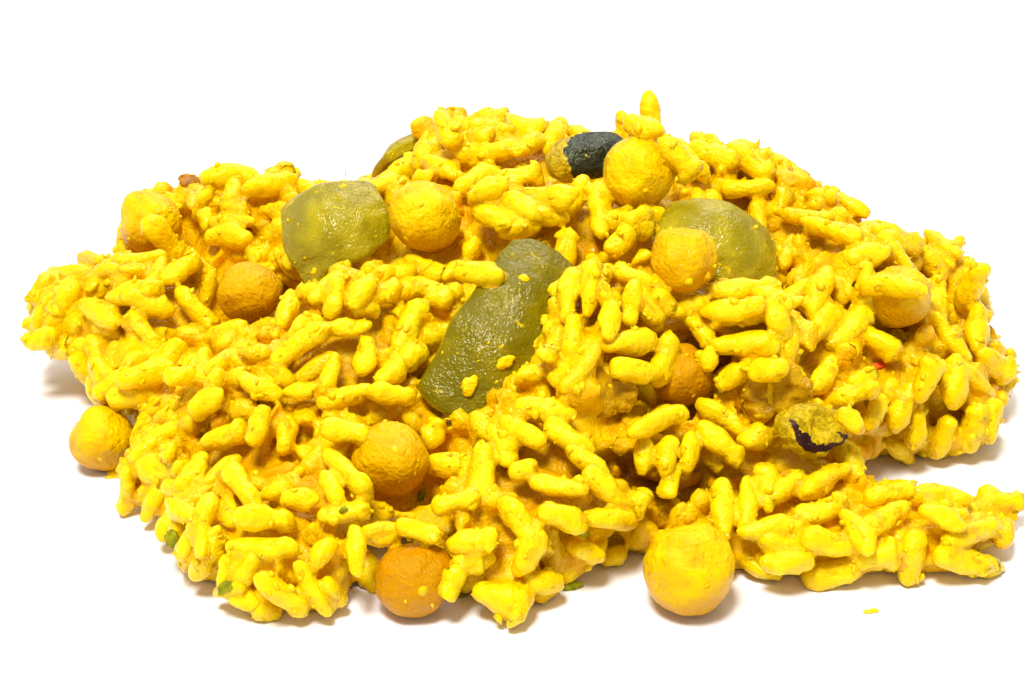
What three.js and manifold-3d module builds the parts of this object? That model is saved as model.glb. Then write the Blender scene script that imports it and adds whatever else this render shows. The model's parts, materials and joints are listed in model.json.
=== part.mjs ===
// A heap of yellow curry rice with chickpeas, strips of green pepper, pieces of aubergine and bits of
// onion, as spooned out onto a flat surface. Millimetres, +Z up, X to the right and Y away from the
// front. The layout is measured from a point on the floor under the middle of the heap, and the whole
// is moved at the end so that its origin is the centre of the bottom of its box.
import * as THREE from "three";
import { mergeVertices } from "three/addons/utils/BufferGeometryUtils.js";
import Module from "manifold-3d";

const wasm = await Module();
wasm.setup();

// ---- Driving dimensions ----------------------------------------------------------------------------

// A cooked grain of parboiled rice: its full length and its thickness at the middle, the number of its
// sides, and the two rings of points between its ends, as shares of the half length and the half width.
const GRAIN = { length: 9, width: 3.2, sides: 5, ringStations: [-0.68, 0.68], ringSize: [0.9, 0.84] };
const GRAIN_SPREAD = { length: 0.16, width: 0.12 };
// How many grains lie on the mass, and how many places are tried for each. Grains keep GRAIN_CLEARANCE
// widths apart. Their slope against the surface and the height of their middle above it, as shares of
// the length and the half width, are drawn between limits. Steep undersides near the floor have none.
const GRAIN_COUNT = 146;
const GRAIN_TRIES = 60;
const GRAIN_CLEARANCE = 1.9;
const GRAIN_SLOPE = { low: -0.1, high: 0.6 };
const GRAIN_LIFT = { low: 0.4, high: 1.1 };
const GRAIN_SPINE = [-0.42, -0.21, 0, 0.21, 0.42];
const GRAIN_SEED = 11;
const OVER_FLOOR = 0.1;
const UNDERSIDE = { lowest: 1, slope: -0.35, height: 8 };

// The gap kept between the rice and every piece that is bedded in it.
const BED_GAP = 0.35;
const PEPPER_WALL = 2.6;
const ONION_WALL = 1.6;

// Points nearer than this are one point.
const WELD_DISTANCE = 1e-3;

// The soft mass under the lumps: a low dome.
const DOME = { at: [0, 7, 0], size: [58, 42, 28] };

// Lumps of rice that stick together: the centre and the half sizes of each.
const LUMPS = {
  left_end: { at: [-68.5, 18, 11.5], size: [10, 11, 8] },
  left_end_inner: { at: [-57, 12, 16.5], size: [9.5, 10, 9] },
  left_back: { at: [-55, 37, 15.5], size: [11, 11, 11] },
  left_back_inner: { at: [-41, 32, 21], size: [12, 12, 10.5] },
  left_side: { at: [-55, -5, 8.5], size: [9, 9, 8.2] },
  left_low: { at: [-50, -23.5, 5.5], size: [9, 9, 6] },
  front_left_top: { at: [-24, -9.5, 21.5], size: [12.5, 10, 8.2] },
  front_left_slope: { at: [-23, -22, 15.5], size: [11, 9, 8] },
  front_left_middle: { at: [-37, -20, 14], size: [11, 11, 8] },
  front_left: { at: [-38, -38, 6.8], size: [11, 12, 8] },
  front_left_nose: { at: [-30.5, -50.5, 3.8], size: [9, 7.5, 5.6] },
  front_left_inner: { at: [-25, -37.5, 10.5], size: [9, 9, 7] },
  front_middle_top: { at: [3.9, -31.5, 16.5], size: [11, 9, 7.5] },
  front_middle: { at: [-1.6, -44.5, 7], size: [12, 9.5, 8.4] },
  front_middle_right: { at: [9.2, -41, 10], size: [7.5, 7, 5.8] },
  centre_face: { at: [11.5, -15.5, 27.5], size: [8.5, 8.5, 9] },
  centre_right: { at: [19.5, -11, 25], size: [8, 8, 8.5] },
  centre_low: { at: [24.5, -26, 10.5], size: [8, 8.5, 8.5] },
  centre_foot: { at: [26, -38.5, 4.2], size: [7.5, 7, 5.4] },
  knob: { at: [34, -14.5, 23.5], size: [8.5, 8.5, 8.2] },
  crown: { at: [4, 9, 31.5], size: [14, 11, 6.6] },
  crown_right: { at: [21, 8, 28], size: [11, 11, 7.4] },
  crown_left: { at: [-19, 17, 27], size: [13, 13, 8] },
  crest_foot: { at: [0, 31, 19], size: [30, 20, 11] },
  crest: { at: [-6.5, 36, 31], size: [10.5, 10, 8] },
  crest_middle: { at: [6, 31, 31.5], size: [9, 9, 7.6] },
  crest_right: { at: [22.5, 25, 31.5], size: [8.5, 9, 8] },
  back_hump: { at: [36.5, 28, 27.5], size: [11.5, 11, 9.6] },
  right_shoulder: { at: [48.5, 19, 23.5], size: [9.5, 10, 9] },
  right_top: { at: [51, 4, 24], size: [11.5, 9.5, 8.6] },
  right_middle: { at: [57.5, -3, 14], size: [11, 10, 10] },
  right_face: { at: [50, -14, 12], size: [9, 8, 8] },
  right_low: { at: [65, -7, 6.5], size: [9, 8, 7] },
  right_back: { at: [66.5, 19, 14.5], size: [9, 10, 9] },
  right_end: { at: [73, 8, 7.5], size: [7, 11, 8] },
  front_right: { at: [43.5, -40.5, 4.6], size: [13, 9.5, 5.6] },
  front_right_inner: { at: [37, -28, 8.5], size: [9.5, 8, 6.5] },
  front_right_end: { at: [59.5, -38, 3.8], size: [9.5, 9, 5] },
  front_right_tail: { at: [69.5, -30.5, 3.2], size: [7, 5.5, 3.6] },
  back_middle: { at: [0, 50, 15], size: [16, 11, 12] },
  back_left: { at: [-28, 48, 12], size: [13, 11, 11] },
  back_low: { at: [17, 58, 6.5], size: [11, 8, 7] },
  back_right: { at: [34, 47, 13.5], size: [13, 10, 11] },
  back_right_end: { at: [56, 35, 10], size: [12, 12, 10] },
};
// Where lumps meet, the valley between them is rounded over about BLEND. The surface is built on a grid
// of cells of MASS_CELL, which trims what stands out by about CELL_LOSS, and has bumps about as far apart
// as grains.
const BLEND = 0.7;
const MASS_CELL = 6.8;
const CELL_LOSS = 0.8;
const MASS_REACH = { low: [-90, -72, -12], high: [92, 78, 48] };
const BUMP = { height: 1.5, pitch: 7 };

// How finely the pieces are divided. A round piece's bed is coarser than the piece, and larger by what
// its flat faces cut off a round shape.
const PIECE_FINENESS = { ball: 3, roundness: 1 };
const BED_FINENESS = { ball: 1, roundness: 1.24 };
const WALL_STEPS = { along: 6, across: 4 };

// Chickpeas: the centre and radius of each, with its beak turned by yaw and pitch.
const CHICKPEAS = {
  chickpea_top_left: { at: [-13, 4.6, 33.4], radius: 5.4, yaw: 200, pitch: 35 },
  chickpea_top: { at: [19.3, 9.5, 38.9], radius: 5.8, yaw: 250, pitch: 10 },
  chickpea_centre: { at: [24.6, -12.5, 34], radius: 4.9, yaw: 100, pitch: 60 },
  chickpea_front: { at: [23.6, -50.8, 6.2], radius: 6.2, yaw: 120, pitch: -30 },
  chickpea_front_left: { at: [-13.2, -51.6, 5], radius: 5, yaw: 20, pitch: 40 },
  chickpea_hollow: { at: [-16.6, -35, 14], radius: 5.2, yaw: 300, pitch: 15 },
  chickpea_left_edge: { at: [-61.1, -12.6, 5], radius: 5, yaw: 60, pitch: -20 },
  chickpea_left_shadow: { at: [-40.6, 6, 20.4], radius: 4.9, yaw: 330, pitch: 30 },
  chickpea_left_back: { at: [-58.5, 28, 22.6], radius: 5.2, yaw: 160, pitch: 50 },
  chickpea_gap: { at: [24.4, -19.5, 19.6], radius: 4.6, yaw: 240, pitch: 0 },
  chickpea_right: { at: [57.2, -4.5, 24.6], radius: 4.8, yaw: 280, pitch: 20 },
  chickpea_back: { at: [14, 45, 26.5], radius: 5.3, yaw: 90, pitch: 20 },
  chickpea_back_left: { at: [-42, 49, 10.4], radius: 5.1, yaw: 130, pitch: 10 },
  chickpea_back_right: { at: [46, 47.5, 13], radius: 5.4, yaw: 40, pitch: 30 },
  chickpea_back_floor: { at: [-8, 64, 5.2], radius: 5.2, yaw: 110, pitch: 25 },
};

// Strips of green pepper: curved pieces of wall with the skin on the outer face. The skin faces along
// `skin`, and the strip runs along `along`.
const PEPPERS = {
  green_pepper_left: {
    at: [-27.3, 5.6, 32.6], length: 16, width: 14.5, skin: [-0.2, -0.6, 0.78], along: [1, 0.25, 0.2],
    bendAlong: 14, bendAcross: 12, taper: 0.15,
  },
  green_pepper_middle: {
    at: [-1, -17.8, 25.8], length: 30, width: 13.5, skin: [0.12, -0.7, 0.69], along: [0.45, 0.68, 0.575],
    bendAlong: 60, bendAcross: 16, taper: 0.12,
  },
  green_pepper_right: {
    at: [31, -0.8, 32.4], length: 18.5, width: 13, skin: [0.22, -0.56, 0.8], along: [0.9, -0.05, -0.42],
    bendAlong: 17, bendAcross: 12, taper: -0.15,
  },
  green_pepper_back: {
    at: [-14, 45.5, 29.5], length: 20, width: 12, skin: [-0.25, 0.66, 0.7], along: [0.94, 0.3, 0.1],
    bendAlong: 18, bendAcross: 14, taper: 0.2,
  },
};

// Chunks of aubergine: a wedge of flesh with dark skin on its outer face.
const AUBERGINES = {
  aubergine_top: {
    at: [11.6, 18, 38], length: 15, width: 9, height: 8.5, skin: [-0.1, -0.15, 1],
    along: [1, 0.25, 0], point: 0.1,
  },
  aubergine_front: {
    at: [42.2, -30, 16.2], length: 12.5, width: 7.5, height: 10, skin: [0.1, -0.7, -0.72],
    along: [0.86, -0.1, -0.4], point: 0.8,
  },
  aubergine_back: {
    at: [34, 39, 27.4], length: 14, width: 9, height: 7, skin: [0.3, 0.5, 0.8],
    along: [0.9, -0.4, 0], point: 0.4,
  },
};

// Bits of onion, thin and glassy.
const ONIONS = {
  onion_front: {
    at: [36.6, -24.6, 19.6], length: 11, width: 8, skin: [-0.3, -0.85, 0.3], along: [0.9, -0.2, 0.25],
    bendAlong: 12, bendAcross: 14, taper: 0.3,
  },
  onion_middle: {
    at: [12.6, -28.4, 21.5], length: 9.5, width: 8, skin: [0.1, -0.8, 0.5], along: [0.95, 0.1, -0.2],
    bendAlong: 14, bendAcross: 12, taper: 0.2,
  },
};

const COLOURS = {
  rice: 0xf2b90c,
  chickpea: 0xe0990f,
  pepper: 0x7c7a14,
  aubergine: 0x34363a,
  onion: 0xc8a020,
};

// ---- Small helpers ---------------------------------------------------------------------------------

const TAU = Math.PI * 2;
const degrees = THREE.MathUtils.degToRad;
const vector = (a) => new THREE.Vector3(...a);

// A repeatable stream of numbers from 0 to 1.
function randomStream(seed) {
  let state = seed >>> 0;
  return () => {
    state = (state + 0x6d2b79f5) >>> 0;
    let t = Math.imul(state ^ (state >>> 15), state | 1);
    t ^= t + Math.imul(t ^ (t >>> 7), t | 61);
    return ((t ^ (t >>> 14)) >>> 0) / 4294967296;
  };
}

// A fixed number from -1 to 1 for each point of a whole-number grid.
function gridValue(x, y, z) {
  let h = Math.imul(x, 374761393) ^ Math.imul(y, 668265263) ^ Math.imul(z, 1274126177);
  h = Math.imul(h ^ (h >>> 13), 1103515245);
  return ((h ^ (h >>> 16)) >>> 0) / 2147483648 - 1;
}

// Smooth noise from -1 to 1 in space, whose bumps are `pitch` apart.
function noise(point, pitch) {
  const cell = point.clone().divideScalar(pitch);
  const low = cell.clone().floor();
  const part = cell.sub(low);
  const ease = (t) => t * t * (3 - 2 * t);
  const [fx, fy, fz] = [ease(part.x), ease(part.y), ease(part.z)];
  let sum = 0;
  for (let corner = 0; corner < 8; corner++) {
    const [i, j, k] = [corner & 1, (corner >> 1) & 1, corner >> 2];
    const weight = (i ? fx : 1 - fx) * (j ? fy : 1 - fy) * (k ? fz : 1 - fz);
    sum += weight * gridValue(low.x + i, low.y + j, low.z + k);
  }
  return sum;
}

// The rotation that turns local X along `along` and local Z along `skin`.
function facing(along, skin) {
  const z = vector(skin).normalize();
  const x = vector(along).addScaledVector(z, -vector(along).dot(z)).normalize();
  const y = new THREE.Vector3().crossVectors(z, x);
  return new THREE.Matrix4().makeBasis(x, y, z);
}

// A closed geometry whose points are shared by its triangles, with its position alone.
function weld(geometry) {
  geometry.deleteAttribute("normal");
  geometry.deleteAttribute("uv");
  return mergeVertices(geometry, WELD_DISTANCE);
}

function solidOf(geometry) {
  const welded = weld(geometry);
  const vertProperties = new Float32Array(welded.attributes.position.array);
  const triVerts = new Uint32Array(welded.index.array);
  return new wasm.Manifold(new wasm.Mesh({ numProp: 3, vertProperties, triVerts }));
}

function geometryOf(solid) {
  const { numProp, vertProperties, triVerts } = solid.getMesh();
  const position = new Float32Array((vertProperties.length / numProp) * 3);
  for (let i = 0; i * numProp < vertProperties.length; i++) {
    position.set(vertProperties.subarray(i * numProp, i * numProp + 3), i * 3);
  }
  return new THREE.BufferGeometry()
    .setAttribute("position", new THREE.BufferAttribute(position, 3))
    .setIndex(new THREE.BufferAttribute(new Uint32Array(triVerts), 1));
}

// Moves every point of a geometry by `change`, which is given the point and alters it.
function reshape(geometry, change) {
  const points = geometry.attributes.position;
  const point = new THREE.Vector3();
  for (let i = 0; i < points.count; i++) {
    change(point.fromBufferAttribute(points, i));
    points.setXYZ(i, point.x, point.y, point.z);
  }
  return geometry;
}

// ---- Pieces ----------------------------------------------------------------------------------------

// A chickpea: a ball with a beak at one end, a shallow groove over it, and a slightly uneven skin.
function chickpea({ at, radius, yaw, pitch }, grow, fineness) {
  const beak = { start: 0.55, height: 0.2 };
  const groove = { halfWidth: 0.22, depth: 0.07 };
  const uneven = { height: 0.03, pitch: 0.6 };
  const body = 0.97;
  const turn = new THREE.Euler(0, degrees(-pitch), degrees(yaw), "ZYX");
  return reshape(new THREE.OctahedronGeometry(1, fineness.ball), (p) => {
    const towardsBeak = Math.max(0, p.x - beak.start) / (1 - beak.start);
    const inGroove = Math.exp(-((p.y / groove.halfWidth) ** 2)) * Math.max(0, p.z);
    const relief = beak.height * towardsBeak ** 2 - groove.depth * inGroove;
    const size = 1 + relief + uneven.height * noise(p, uneven.pitch);
    p.multiplyScalar((size * radius * body + grow) * fineness.roundness).applyEuler(turn).add(vector(at));
  });
}

// A curved piece of wall: a grid of points bent along and across, with an outer face, an inner face
// and a rim between them. Its corners are pulled in, and one end is wider than the other by `taper`.
function wall({ at, length, width, skin, along, bendAlong, bendAcross, taper }, thickness, grow) {
  const steps = WALL_STEPS;
  const cornerPull = 0.13;
  const rimPull = 0.35;
  const atRimFrom = 0.99;
  const waves = { height: 0.5, pitch: 7 };
  const placed = facing(along, skin).setPosition(...at);
  const facePoint = (u, v, side) => {
    const pull = 1 - cornerPull * u * u * v * v;
    const x = u * (length / 2 + grow) * pull;
    const y = v * (width / 2 + grow) * pull * (1 - taper * u);
    const wave = waves.height * noise(new THREE.Vector3(x, y, length), waves.pitch);
    const height = -(x * x) / (2 * bendAlong) - (y * y) / (2 * bendAcross) + wave;
    const tilt = new THREE.Vector3(x / bendAlong, y / bendAcross, 1).normalize();
    const atRim = Math.max(Math.abs(u), Math.abs(v)) > atRimFrom ? rimPull : 0;
    const offset = side * (thickness / 2 + grow) * (1 - atRim);
    return new THREE.Vector3(x, y, height).addScaledVector(tilt, offset).applyMatrix4(placed);
  };
  const columns = steps.along + 1;
  const rows = steps.across + 1;
  const positions = [];
  for (const side of [1, -1]) {
    for (let row = 0; row < rows; row++) {
      for (let column = 0; column < columns; column++) {
        const u = (2 * column) / steps.along - 1;
        const v = (2 * row) / steps.across - 1;
        positions.push(...facePoint(u, v, side));
      }
    }
  }
  const index = [];
  const inner = columns * rows;
  const quad = (a, b, c, d) => index.push(a, b, c, a, c, d);
  for (let row = 0; row < steps.across; row++) {
    for (let column = 0; column < steps.along; column++) {
      const a = row * columns + column;
      quad(a, a + 1, a + 1 + columns, a + columns);
      quad(inner + a, inner + a + columns, inner + a + 1 + columns, inner + a + 1);
    }
  }
  const rim = [];
  for (let column = 0; column < steps.along; column++) rim.push(column);
  for (let row = 0; row < steps.across; row++) rim.push(row * columns + steps.along);
  for (let column = steps.along; column > 0; column--) rim.push(steps.across * columns + column);
  for (let row = steps.across; row > 0; row--) rim.push(row * columns);
  rim.forEach((a, i) => {
    const b = rim[(i + 1) % rim.length];
    quad(a, a + inner, b + inner, b);
  });
  return new THREE.BufferGeometry()
    .setAttribute("position", new THREE.Float32BufferAttribute(positions, 3))
    .setIndex(index);
}

// A chunk of aubergine: a ball squared off to a slice, flat at the flesh and round at the skin, and
// drawn out to a point at one end by `point`.
function aubergine({ at, length, width, height, skin, along, point }, grow, fineness) {
  const placed = facing(along, skin).setPosition(...at);
  const squareness = 0.62;
  const fleshDepth = 0.8;
  const tip = { narrowing: 0.75, reach: 0.2 };
  const uneven = { height: 0.05, pitch: 0.7 };
  const body = 0.88;
  const squared = (t) => Math.sign(t) * Math.abs(t) ** squareness;
  return reshape(new THREE.OctahedronGeometry(1, fineness.ball), (p) => {
    const size = body + body * uneven.height * noise(p.clone().addScalar(length), uneven.pitch);
    p.set(squared(p.x), squared(p.y), p.z > 0 ? p.z : squared(p.z) * fleshDepth);
    const towardsTip = point * Math.max(0, p.x);
    p.y *= 1 - tip.narrowing * towardsTip;
    p.z *= 1 - tip.narrowing * towardsTip;
    p.x *= 1 + tip.reach * towardsTip;
    const half = new THREE.Vector3(length / 2, width / 2, height / 2).addScalar(grow);
    p.multiply(half).multiplyScalar(size * fineness.roundness).applyMatrix4(placed);
  });
}

// A grain of rice along +X, with pointed ends and few sides.
function grain(length, width, centre, direction, spin) {
  const { sides, ringStations, ringSize } = GRAIN;
  const positions = [];
  ringStations.forEach((station, ring) => {
    for (let side = 0; side < sides; side++) {
      const angle = spin + (side / sides) * TAU;
      const radius = (width / 2) * ringSize[ring];
      positions.push((station * length) / 2, radius * Math.cos(angle), radius * Math.sin(angle));
    }
  });
  const rings = ringStations.length;
  const tail = rings * sides;
  positions.push(-length / 2, 0, 0, length / 2, 0, 0);
  const index = [];
  for (let side = 0; side < sides; side++) {
    const next = (side + 1) % sides;
    for (let ring = 0; ring + 1 < rings; ring++) {
      const [a, b] = [ring * sides + side, ring * sides + next];
      index.push(a, b, b + sides, a, b + sides, a + sides);
    }
    index.push(tail, next, side, tail + 1, (rings - 1) * sides + side, (rings - 1) * sides + next);
  }
  const turn = new THREE.Quaternion().setFromUnitVectors(new THREE.Vector3(1, 0, 0), direction);
  return new THREE.BufferGeometry()
    .setAttribute("position", new THREE.Float32BufferAttribute(positions, 3))
    .setIndex(index)
    .applyQuaternion(turn)
    .translate(...centre);
}

// ---- Rice ------------------------------------------------------------------------------------------

function join(solids) {
  return solids.reduce((sum, solid) => sum.add(solid));
}

// A slab that holds everything below the floor.
function belowFloor() {
  const size = 4 * MASS_REACH.high[0];
  return solidOf(new THREE.BoxGeometry(size, size, size).translate(0, 0, -size / 2));
}

// The largest body alone: loose scraps and the shells of sealed hollows are left out.
function largestBody(solid) {
  return solid.decompose().reduce((best, body) => (body.volume() > best.volume() ? body : best));
}

// How far a point is from an egg-shaped lump: less than 0 inside it.
function lumpDistance(point, { at, size }) {
  const offset = point.clone().sub(vector(at)).divide(vector(size));
  const steepness = offset.clone().divide(vector(size)).length();
  const reach = offset.length();
  return steepness > 0 ? (reach * (reach - 1)) / steepness : -Math.min(...size);
}

// How far a point is from the bare mass: the dome and all lumps, blended where they meet, down to a
// little below the floor.
function massDistance(point) {
  const lumps = [DOME, ...Object.values(LUMPS)];
  const sum = lumps.reduce((total, each) => total + Math.exp(-lumpDistance(point, each) / BLEND), 0);
  const blended = -BLEND * Math.log(Math.max(sum, Number.MIN_VALUE));
  const bumps = BUMP.height * noise(point, BUMP.pitch);
  return Math.max(blended - CELL_LOSS - bumps, -MASS_CELL - point.z);
}

// The closed surface where the distance is 0, on a grid of cells: each cell that the surface crosses
// holds one point, and each grid edge that it crosses joins the points of the four cells round it.
function massSurface() {
  const low = vector(MASS_REACH.low);
  const counts = vector(MASS_REACH.high).sub(low).divideScalar(MASS_CELL).ceil().toArray();
  const steps = [1, counts[0] + 1, (counts[0] + 1) * (counts[1] + 1)];
  const nodeIndex = (node) => node.reduce((sum, n, axis) => sum + n * steps[axis], 0);
  const nodePoint = (node) => vector(node).multiplyScalar(MASS_CELL).add(low);
  const values = [];
  const eachNode = (visit) => {
    for (let k = 0; k <= counts[2]; k++) {
      for (let j = 0; j <= counts[1]; j++) {
        for (let i = 0; i <= counts[0]; i++) visit([i, j, k]);
      }
    }
  };
  eachNode((node) => values.push(massDistance(nodePoint(node))));
  const stepped = (node, axis) => node.map((n, i) => n + (i === axis ? 1 : 0));
  // A square of nodes whose corners lie in and out by turns would pinch the surface, so it is filled.
  let filled = true;
  while (filled) {
    filled = false;
    eachNode((node) => {
      for (const axis of [0, 1, 2]) {
        const side = (axis + 1) % 3;
        if (node[axis] === counts[axis] || node[side] === counts[side]) continue;
        const square = [node, stepped(node, axis), stepped(stepped(node, axis), side), stepped(node, side)];
        const corners = square.map(nodeIndex);
        const inside = corners.map((corner) => values[corner] < 0);
        const byTurns = inside[0] === inside[2] && inside[1] === inside[3] && inside[0] !== inside[1];
        if (!byTurns) continue;
        for (const corner of corners) values[corner] = Math.min(values[corner], -CELL_LOSS);
        filled = true;
      }
    });
  }
  // The crossings of each cell's twelve edges are averaged.
  const crossings = new Map();
  const faces = [];
  eachNode((node) => {
    for (const axis of [0, 1, 2]) {
      const next = stepped(node, axis);
      if (next[axis] > counts[axis]) continue;
      const [here, there] = [values[nodeIndex(node)], values[nodeIndex(next)]];
      if (here < 0 === there < 0) continue;
      const crossing = nodePoint(node).lerp(nodePoint(next), here / (here - there));
      const [u, v] = [(axis + 1) % 3, (axis + 2) % 3];
      const around = [[0, 0], [1, 0], [1, 1], [0, 1]].map(([du, dv]) => {
        const cell = [...node];
        cell[u] -= du;
        cell[v] -= dv;
        return nodeIndex(cell);
      });
      for (const cell of around) {
        if (!crossings.has(cell)) crossings.set(cell, []);
        crossings.get(cell).push(crossing);
      }
      faces.push(here < 0 ? around : around.reverse());
    }
  });
  const cells = [...crossings.keys()];
  const points = cells.map((cell) => {
    const found = crossings.get(cell);
    return found.reduce((sum, p) => sum.add(p), new THREE.Vector3()).divideScalar(found.length);
  });
  const order = new Map(cells.map((cell, i) => [cell, i]));
  const index = faces.flatMap((face) => {
    const [a, b, c, d] = face.map((cell) => order.get(cell));
    const shorter = points[a].distanceTo(points[c]) < points[b].distanceTo(points[d]);
    return shorter ? [a, b, c, a, c, d] : [a, b, d, b, c, d];
  });
  return new THREE.BufferGeometry().setFromPoints(points).setIndex(index);
}

// The bare mass of rice, without the grains on it, with a bed for each piece that lies in it.
function riceCore(beds) {
  return largestBody(solidOf(massSurface()).subtract(belowFloor()).subtract(join(beds)));
}

// Points spread over the surface by area, each with its outward direction.
function surfacePoints(geometry, count, random) {
  const points = geometry.attributes.position;
  const corners = geometry.index.array;
  const triangles = [];
  let area = 0;
  for (let i = 0; i < corners.length; i += 3) {
    const [a, b, c] = [0, 1, 2].map((k) => new THREE.Vector3().fromBufferAttribute(points, corners[i + k]));
    const triangle = new THREE.Triangle(a, b, c);
    area += triangle.getArea();
    triangles.push({ triangle, area });
  }
  const found = [];
  for (let n = 0; n < count; n++) {
    const target = random() * area;
    let [low, high] = [0, triangles.length - 1];
    while (low < high) {
      const middle = (low + high) >> 1;
      if (triangles[middle].area < target) low = middle + 1;
      else high = middle;
    }
    const { a, b, c } = triangles[low].triangle;
    let [s, t] = [random(), random()];
    if (s + t > 1) [s, t] = [1 - s, 1 - t];
    const at = a.clone().addScaledVector(b.clone().sub(a), s).addScaledVector(c.clone().sub(a), t);
    const outward = triangles[low].triangle.getNormal(new THREE.Vector3());
    found.push({ at, outward });
  }
  return found;
}

// The shortest distance between two grains, taken as that between points along their middle lines.
function grainDistance(one, other) {
  let shortest = Infinity;
  for (const p of one.spine) {
    for (const q of other.spine) shortest = Math.min(shortest, p.distanceTo(q));
  }
  return shortest;
}

// The grains on the core, the longest first: each lies on the surface, tilted a little, and keeps clear
// of the others and of the pieces bedded in the rice.
function looseGrains(core, bedded) {
  const random = randomStream(GRAIN_SEED);
  const between = (low, high) => low + (high - low) * random();
  const kept = [];
  for (const { at, outward } of surfacePoints(geometryOf(core), GRAIN_COUNT * GRAIN_TRIES, random)) {
    if (kept.length === GRAIN_COUNT) break;
    const fromLargest = 1 - (2 * kept.length) / GRAIN_COUNT;
    const length = GRAIN.length * (1 + fromLargest * GRAIN_SPREAD.length);
    const width = GRAIN.width * (1 + between(-1, 1) * GRAIN_SPREAD.width);
    const direction = new THREE.Vector3(between(-1, 1), between(-1, 1), between(-1, 1));
    direction.addScaledVector(outward, -direction.dot(outward)).normalize();
    direction.addScaledVector(outward, between(GRAIN_SLOPE.low, GRAIN_SLOPE.high)).normalize();
    const lift = between(GRAIN_LIFT.low, GRAIN_LIFT.high) * (width / 2);
    const centre = at.clone().addScaledVector(outward, lift);
    const underneath = outward.z < UNDERSIDE.slope && at.z < UNDERSIDE.height;
    if (underneath || at.z < UNDERSIDE.lowest) continue;
    const halfHeight = (Math.abs(direction.z) * length + Math.hypot(direction.x, direction.y) * width) / 2;
    centre.z = Math.max(centre.z, halfHeight + OVER_FLOOR);
    const spine = GRAIN_SPINE.map((station) => centre.clone().addScaledVector(direction, station * length));
    const candidate = { spine, width };
    if (kept.some((other) => grainDistance(candidate, other) < GRAIN_CLEARANCE * width)) continue;
    const solid = solidOf(grain(length, width, centre, direction, between(0, TAU)));
    const crosses = bedded.some((bed) => !bed.intersect(solid).isEmpty());
    if (crosses) continue;
    kept.push({ ...candidate, solid });
  }
  return kept.map(({ solid }) => solid);
}

// ---- Heap ------------------------------------------------------------------------------------------

function matt(colour) {
  return new THREE.MeshStandardMaterial({ color: colour, roughness: 0.5, metalness: 0 });
}

const PIECE_KINDS = [
  { pieces: CHICKPEAS, colour: COLOURS.chickpea, shape: chickpea },
  { pieces: PEPPERS, colour: COLOURS.pepper, shape: (piece, grow) => wall(piece, PEPPER_WALL, grow) },
  { pieces: AUBERGINES, colour: COLOURS.aubergine, shape: aubergine },
  { pieces: ONIONS, colour: COLOURS.onion, shape: (piece, grow) => wall(piece, ONION_WALL, grow) },
];

// Every piece of the heap by name, with its colour, and the rice fitted round them.
function heapPieces() {
  const pieces = new Map();
  const beds = [];
  for (const { pieces: named, colour, shape } of PIECE_KINDS) {
    for (const [name, piece] of Object.entries(named)) {
      pieces.set(name, { geometry: shape(piece, 0, PIECE_FINENESS), colour });
      beds.push(solidOf(shape(piece, BED_GAP, BED_FINENESS)));
    }
  }
  const core = riceCore(beds);
  const rice = join([core, ...looseGrains(core, beds)]).subtract(belowFloor());
  pieces.set("rice_heap", { geometry: geometryOf(largestBody(rice)), colour: COLOURS.rice });
  return pieces;
}

function buildHeap() {
  const pieces = heapPieces();
  const box = new THREE.Box3();
  for (const { geometry } of pieces.values()) {
    geometry.computeBoundingBox();
    box.union(geometry.boundingBox);
  }
  const middle = box.getCenter(new THREE.Vector3());
  const heap = new THREE.Group();
  for (const [name, { geometry, colour }] of pieces) {
    geometry.translate(-middle.x, -middle.y, -box.min.z);
    const mesh = new THREE.Mesh(geometryOf(largestBody(solidOf(geometry))), matt(colour));
    mesh.name = name;
    heap.add(mesh);
  }
  return heap;
}

export default buildHeap();
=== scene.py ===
"""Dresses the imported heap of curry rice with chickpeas.

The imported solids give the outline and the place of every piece. This script puts the real food in their
place: a sticky mass of rice with a few thousand loose grains settled on it, cooked chickpeas, strips of
green pepper, chunks of aubergine and glassy bits of onion, with the flecks and crumbs between them. It also
makes the white table, the soft light and the camera at the photograph's angle.

Sizes are in millimetres where their name or comment says so, and Blender's own are metres.
"""

from __future__ import annotations

import json
import logging
import math
from dataclasses import dataclass, field, replace
from enum import Enum
from typing import Iterable, NamedTuple, Sequence

import bpy
import numpy as np
from bpy.types import Material, Mesh, Node, NodeSocket, NodeTree, Object
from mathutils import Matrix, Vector, noise
from mathutils.bvhtree import BVHTree

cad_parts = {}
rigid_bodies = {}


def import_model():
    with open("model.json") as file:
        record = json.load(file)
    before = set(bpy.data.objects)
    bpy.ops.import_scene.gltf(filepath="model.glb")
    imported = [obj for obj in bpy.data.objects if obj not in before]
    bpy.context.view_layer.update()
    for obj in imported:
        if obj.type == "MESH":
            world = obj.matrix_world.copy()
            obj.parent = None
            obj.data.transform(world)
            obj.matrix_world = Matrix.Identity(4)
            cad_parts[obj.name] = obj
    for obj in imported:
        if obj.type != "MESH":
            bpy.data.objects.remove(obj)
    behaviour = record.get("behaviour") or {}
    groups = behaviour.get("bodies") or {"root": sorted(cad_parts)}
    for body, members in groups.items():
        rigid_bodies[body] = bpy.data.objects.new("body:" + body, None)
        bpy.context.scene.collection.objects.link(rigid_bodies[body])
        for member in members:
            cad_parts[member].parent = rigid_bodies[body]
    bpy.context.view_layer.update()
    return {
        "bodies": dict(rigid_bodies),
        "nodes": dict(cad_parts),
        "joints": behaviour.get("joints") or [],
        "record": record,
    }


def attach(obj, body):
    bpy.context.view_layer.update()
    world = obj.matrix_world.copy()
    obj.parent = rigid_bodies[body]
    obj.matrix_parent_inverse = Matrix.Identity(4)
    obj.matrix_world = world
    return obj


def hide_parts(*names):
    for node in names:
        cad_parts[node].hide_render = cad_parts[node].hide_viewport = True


log = logging.getLogger("curry_rice")

Pair = tuple[float, float]
Relief = tuple[Pair, ...]

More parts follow.
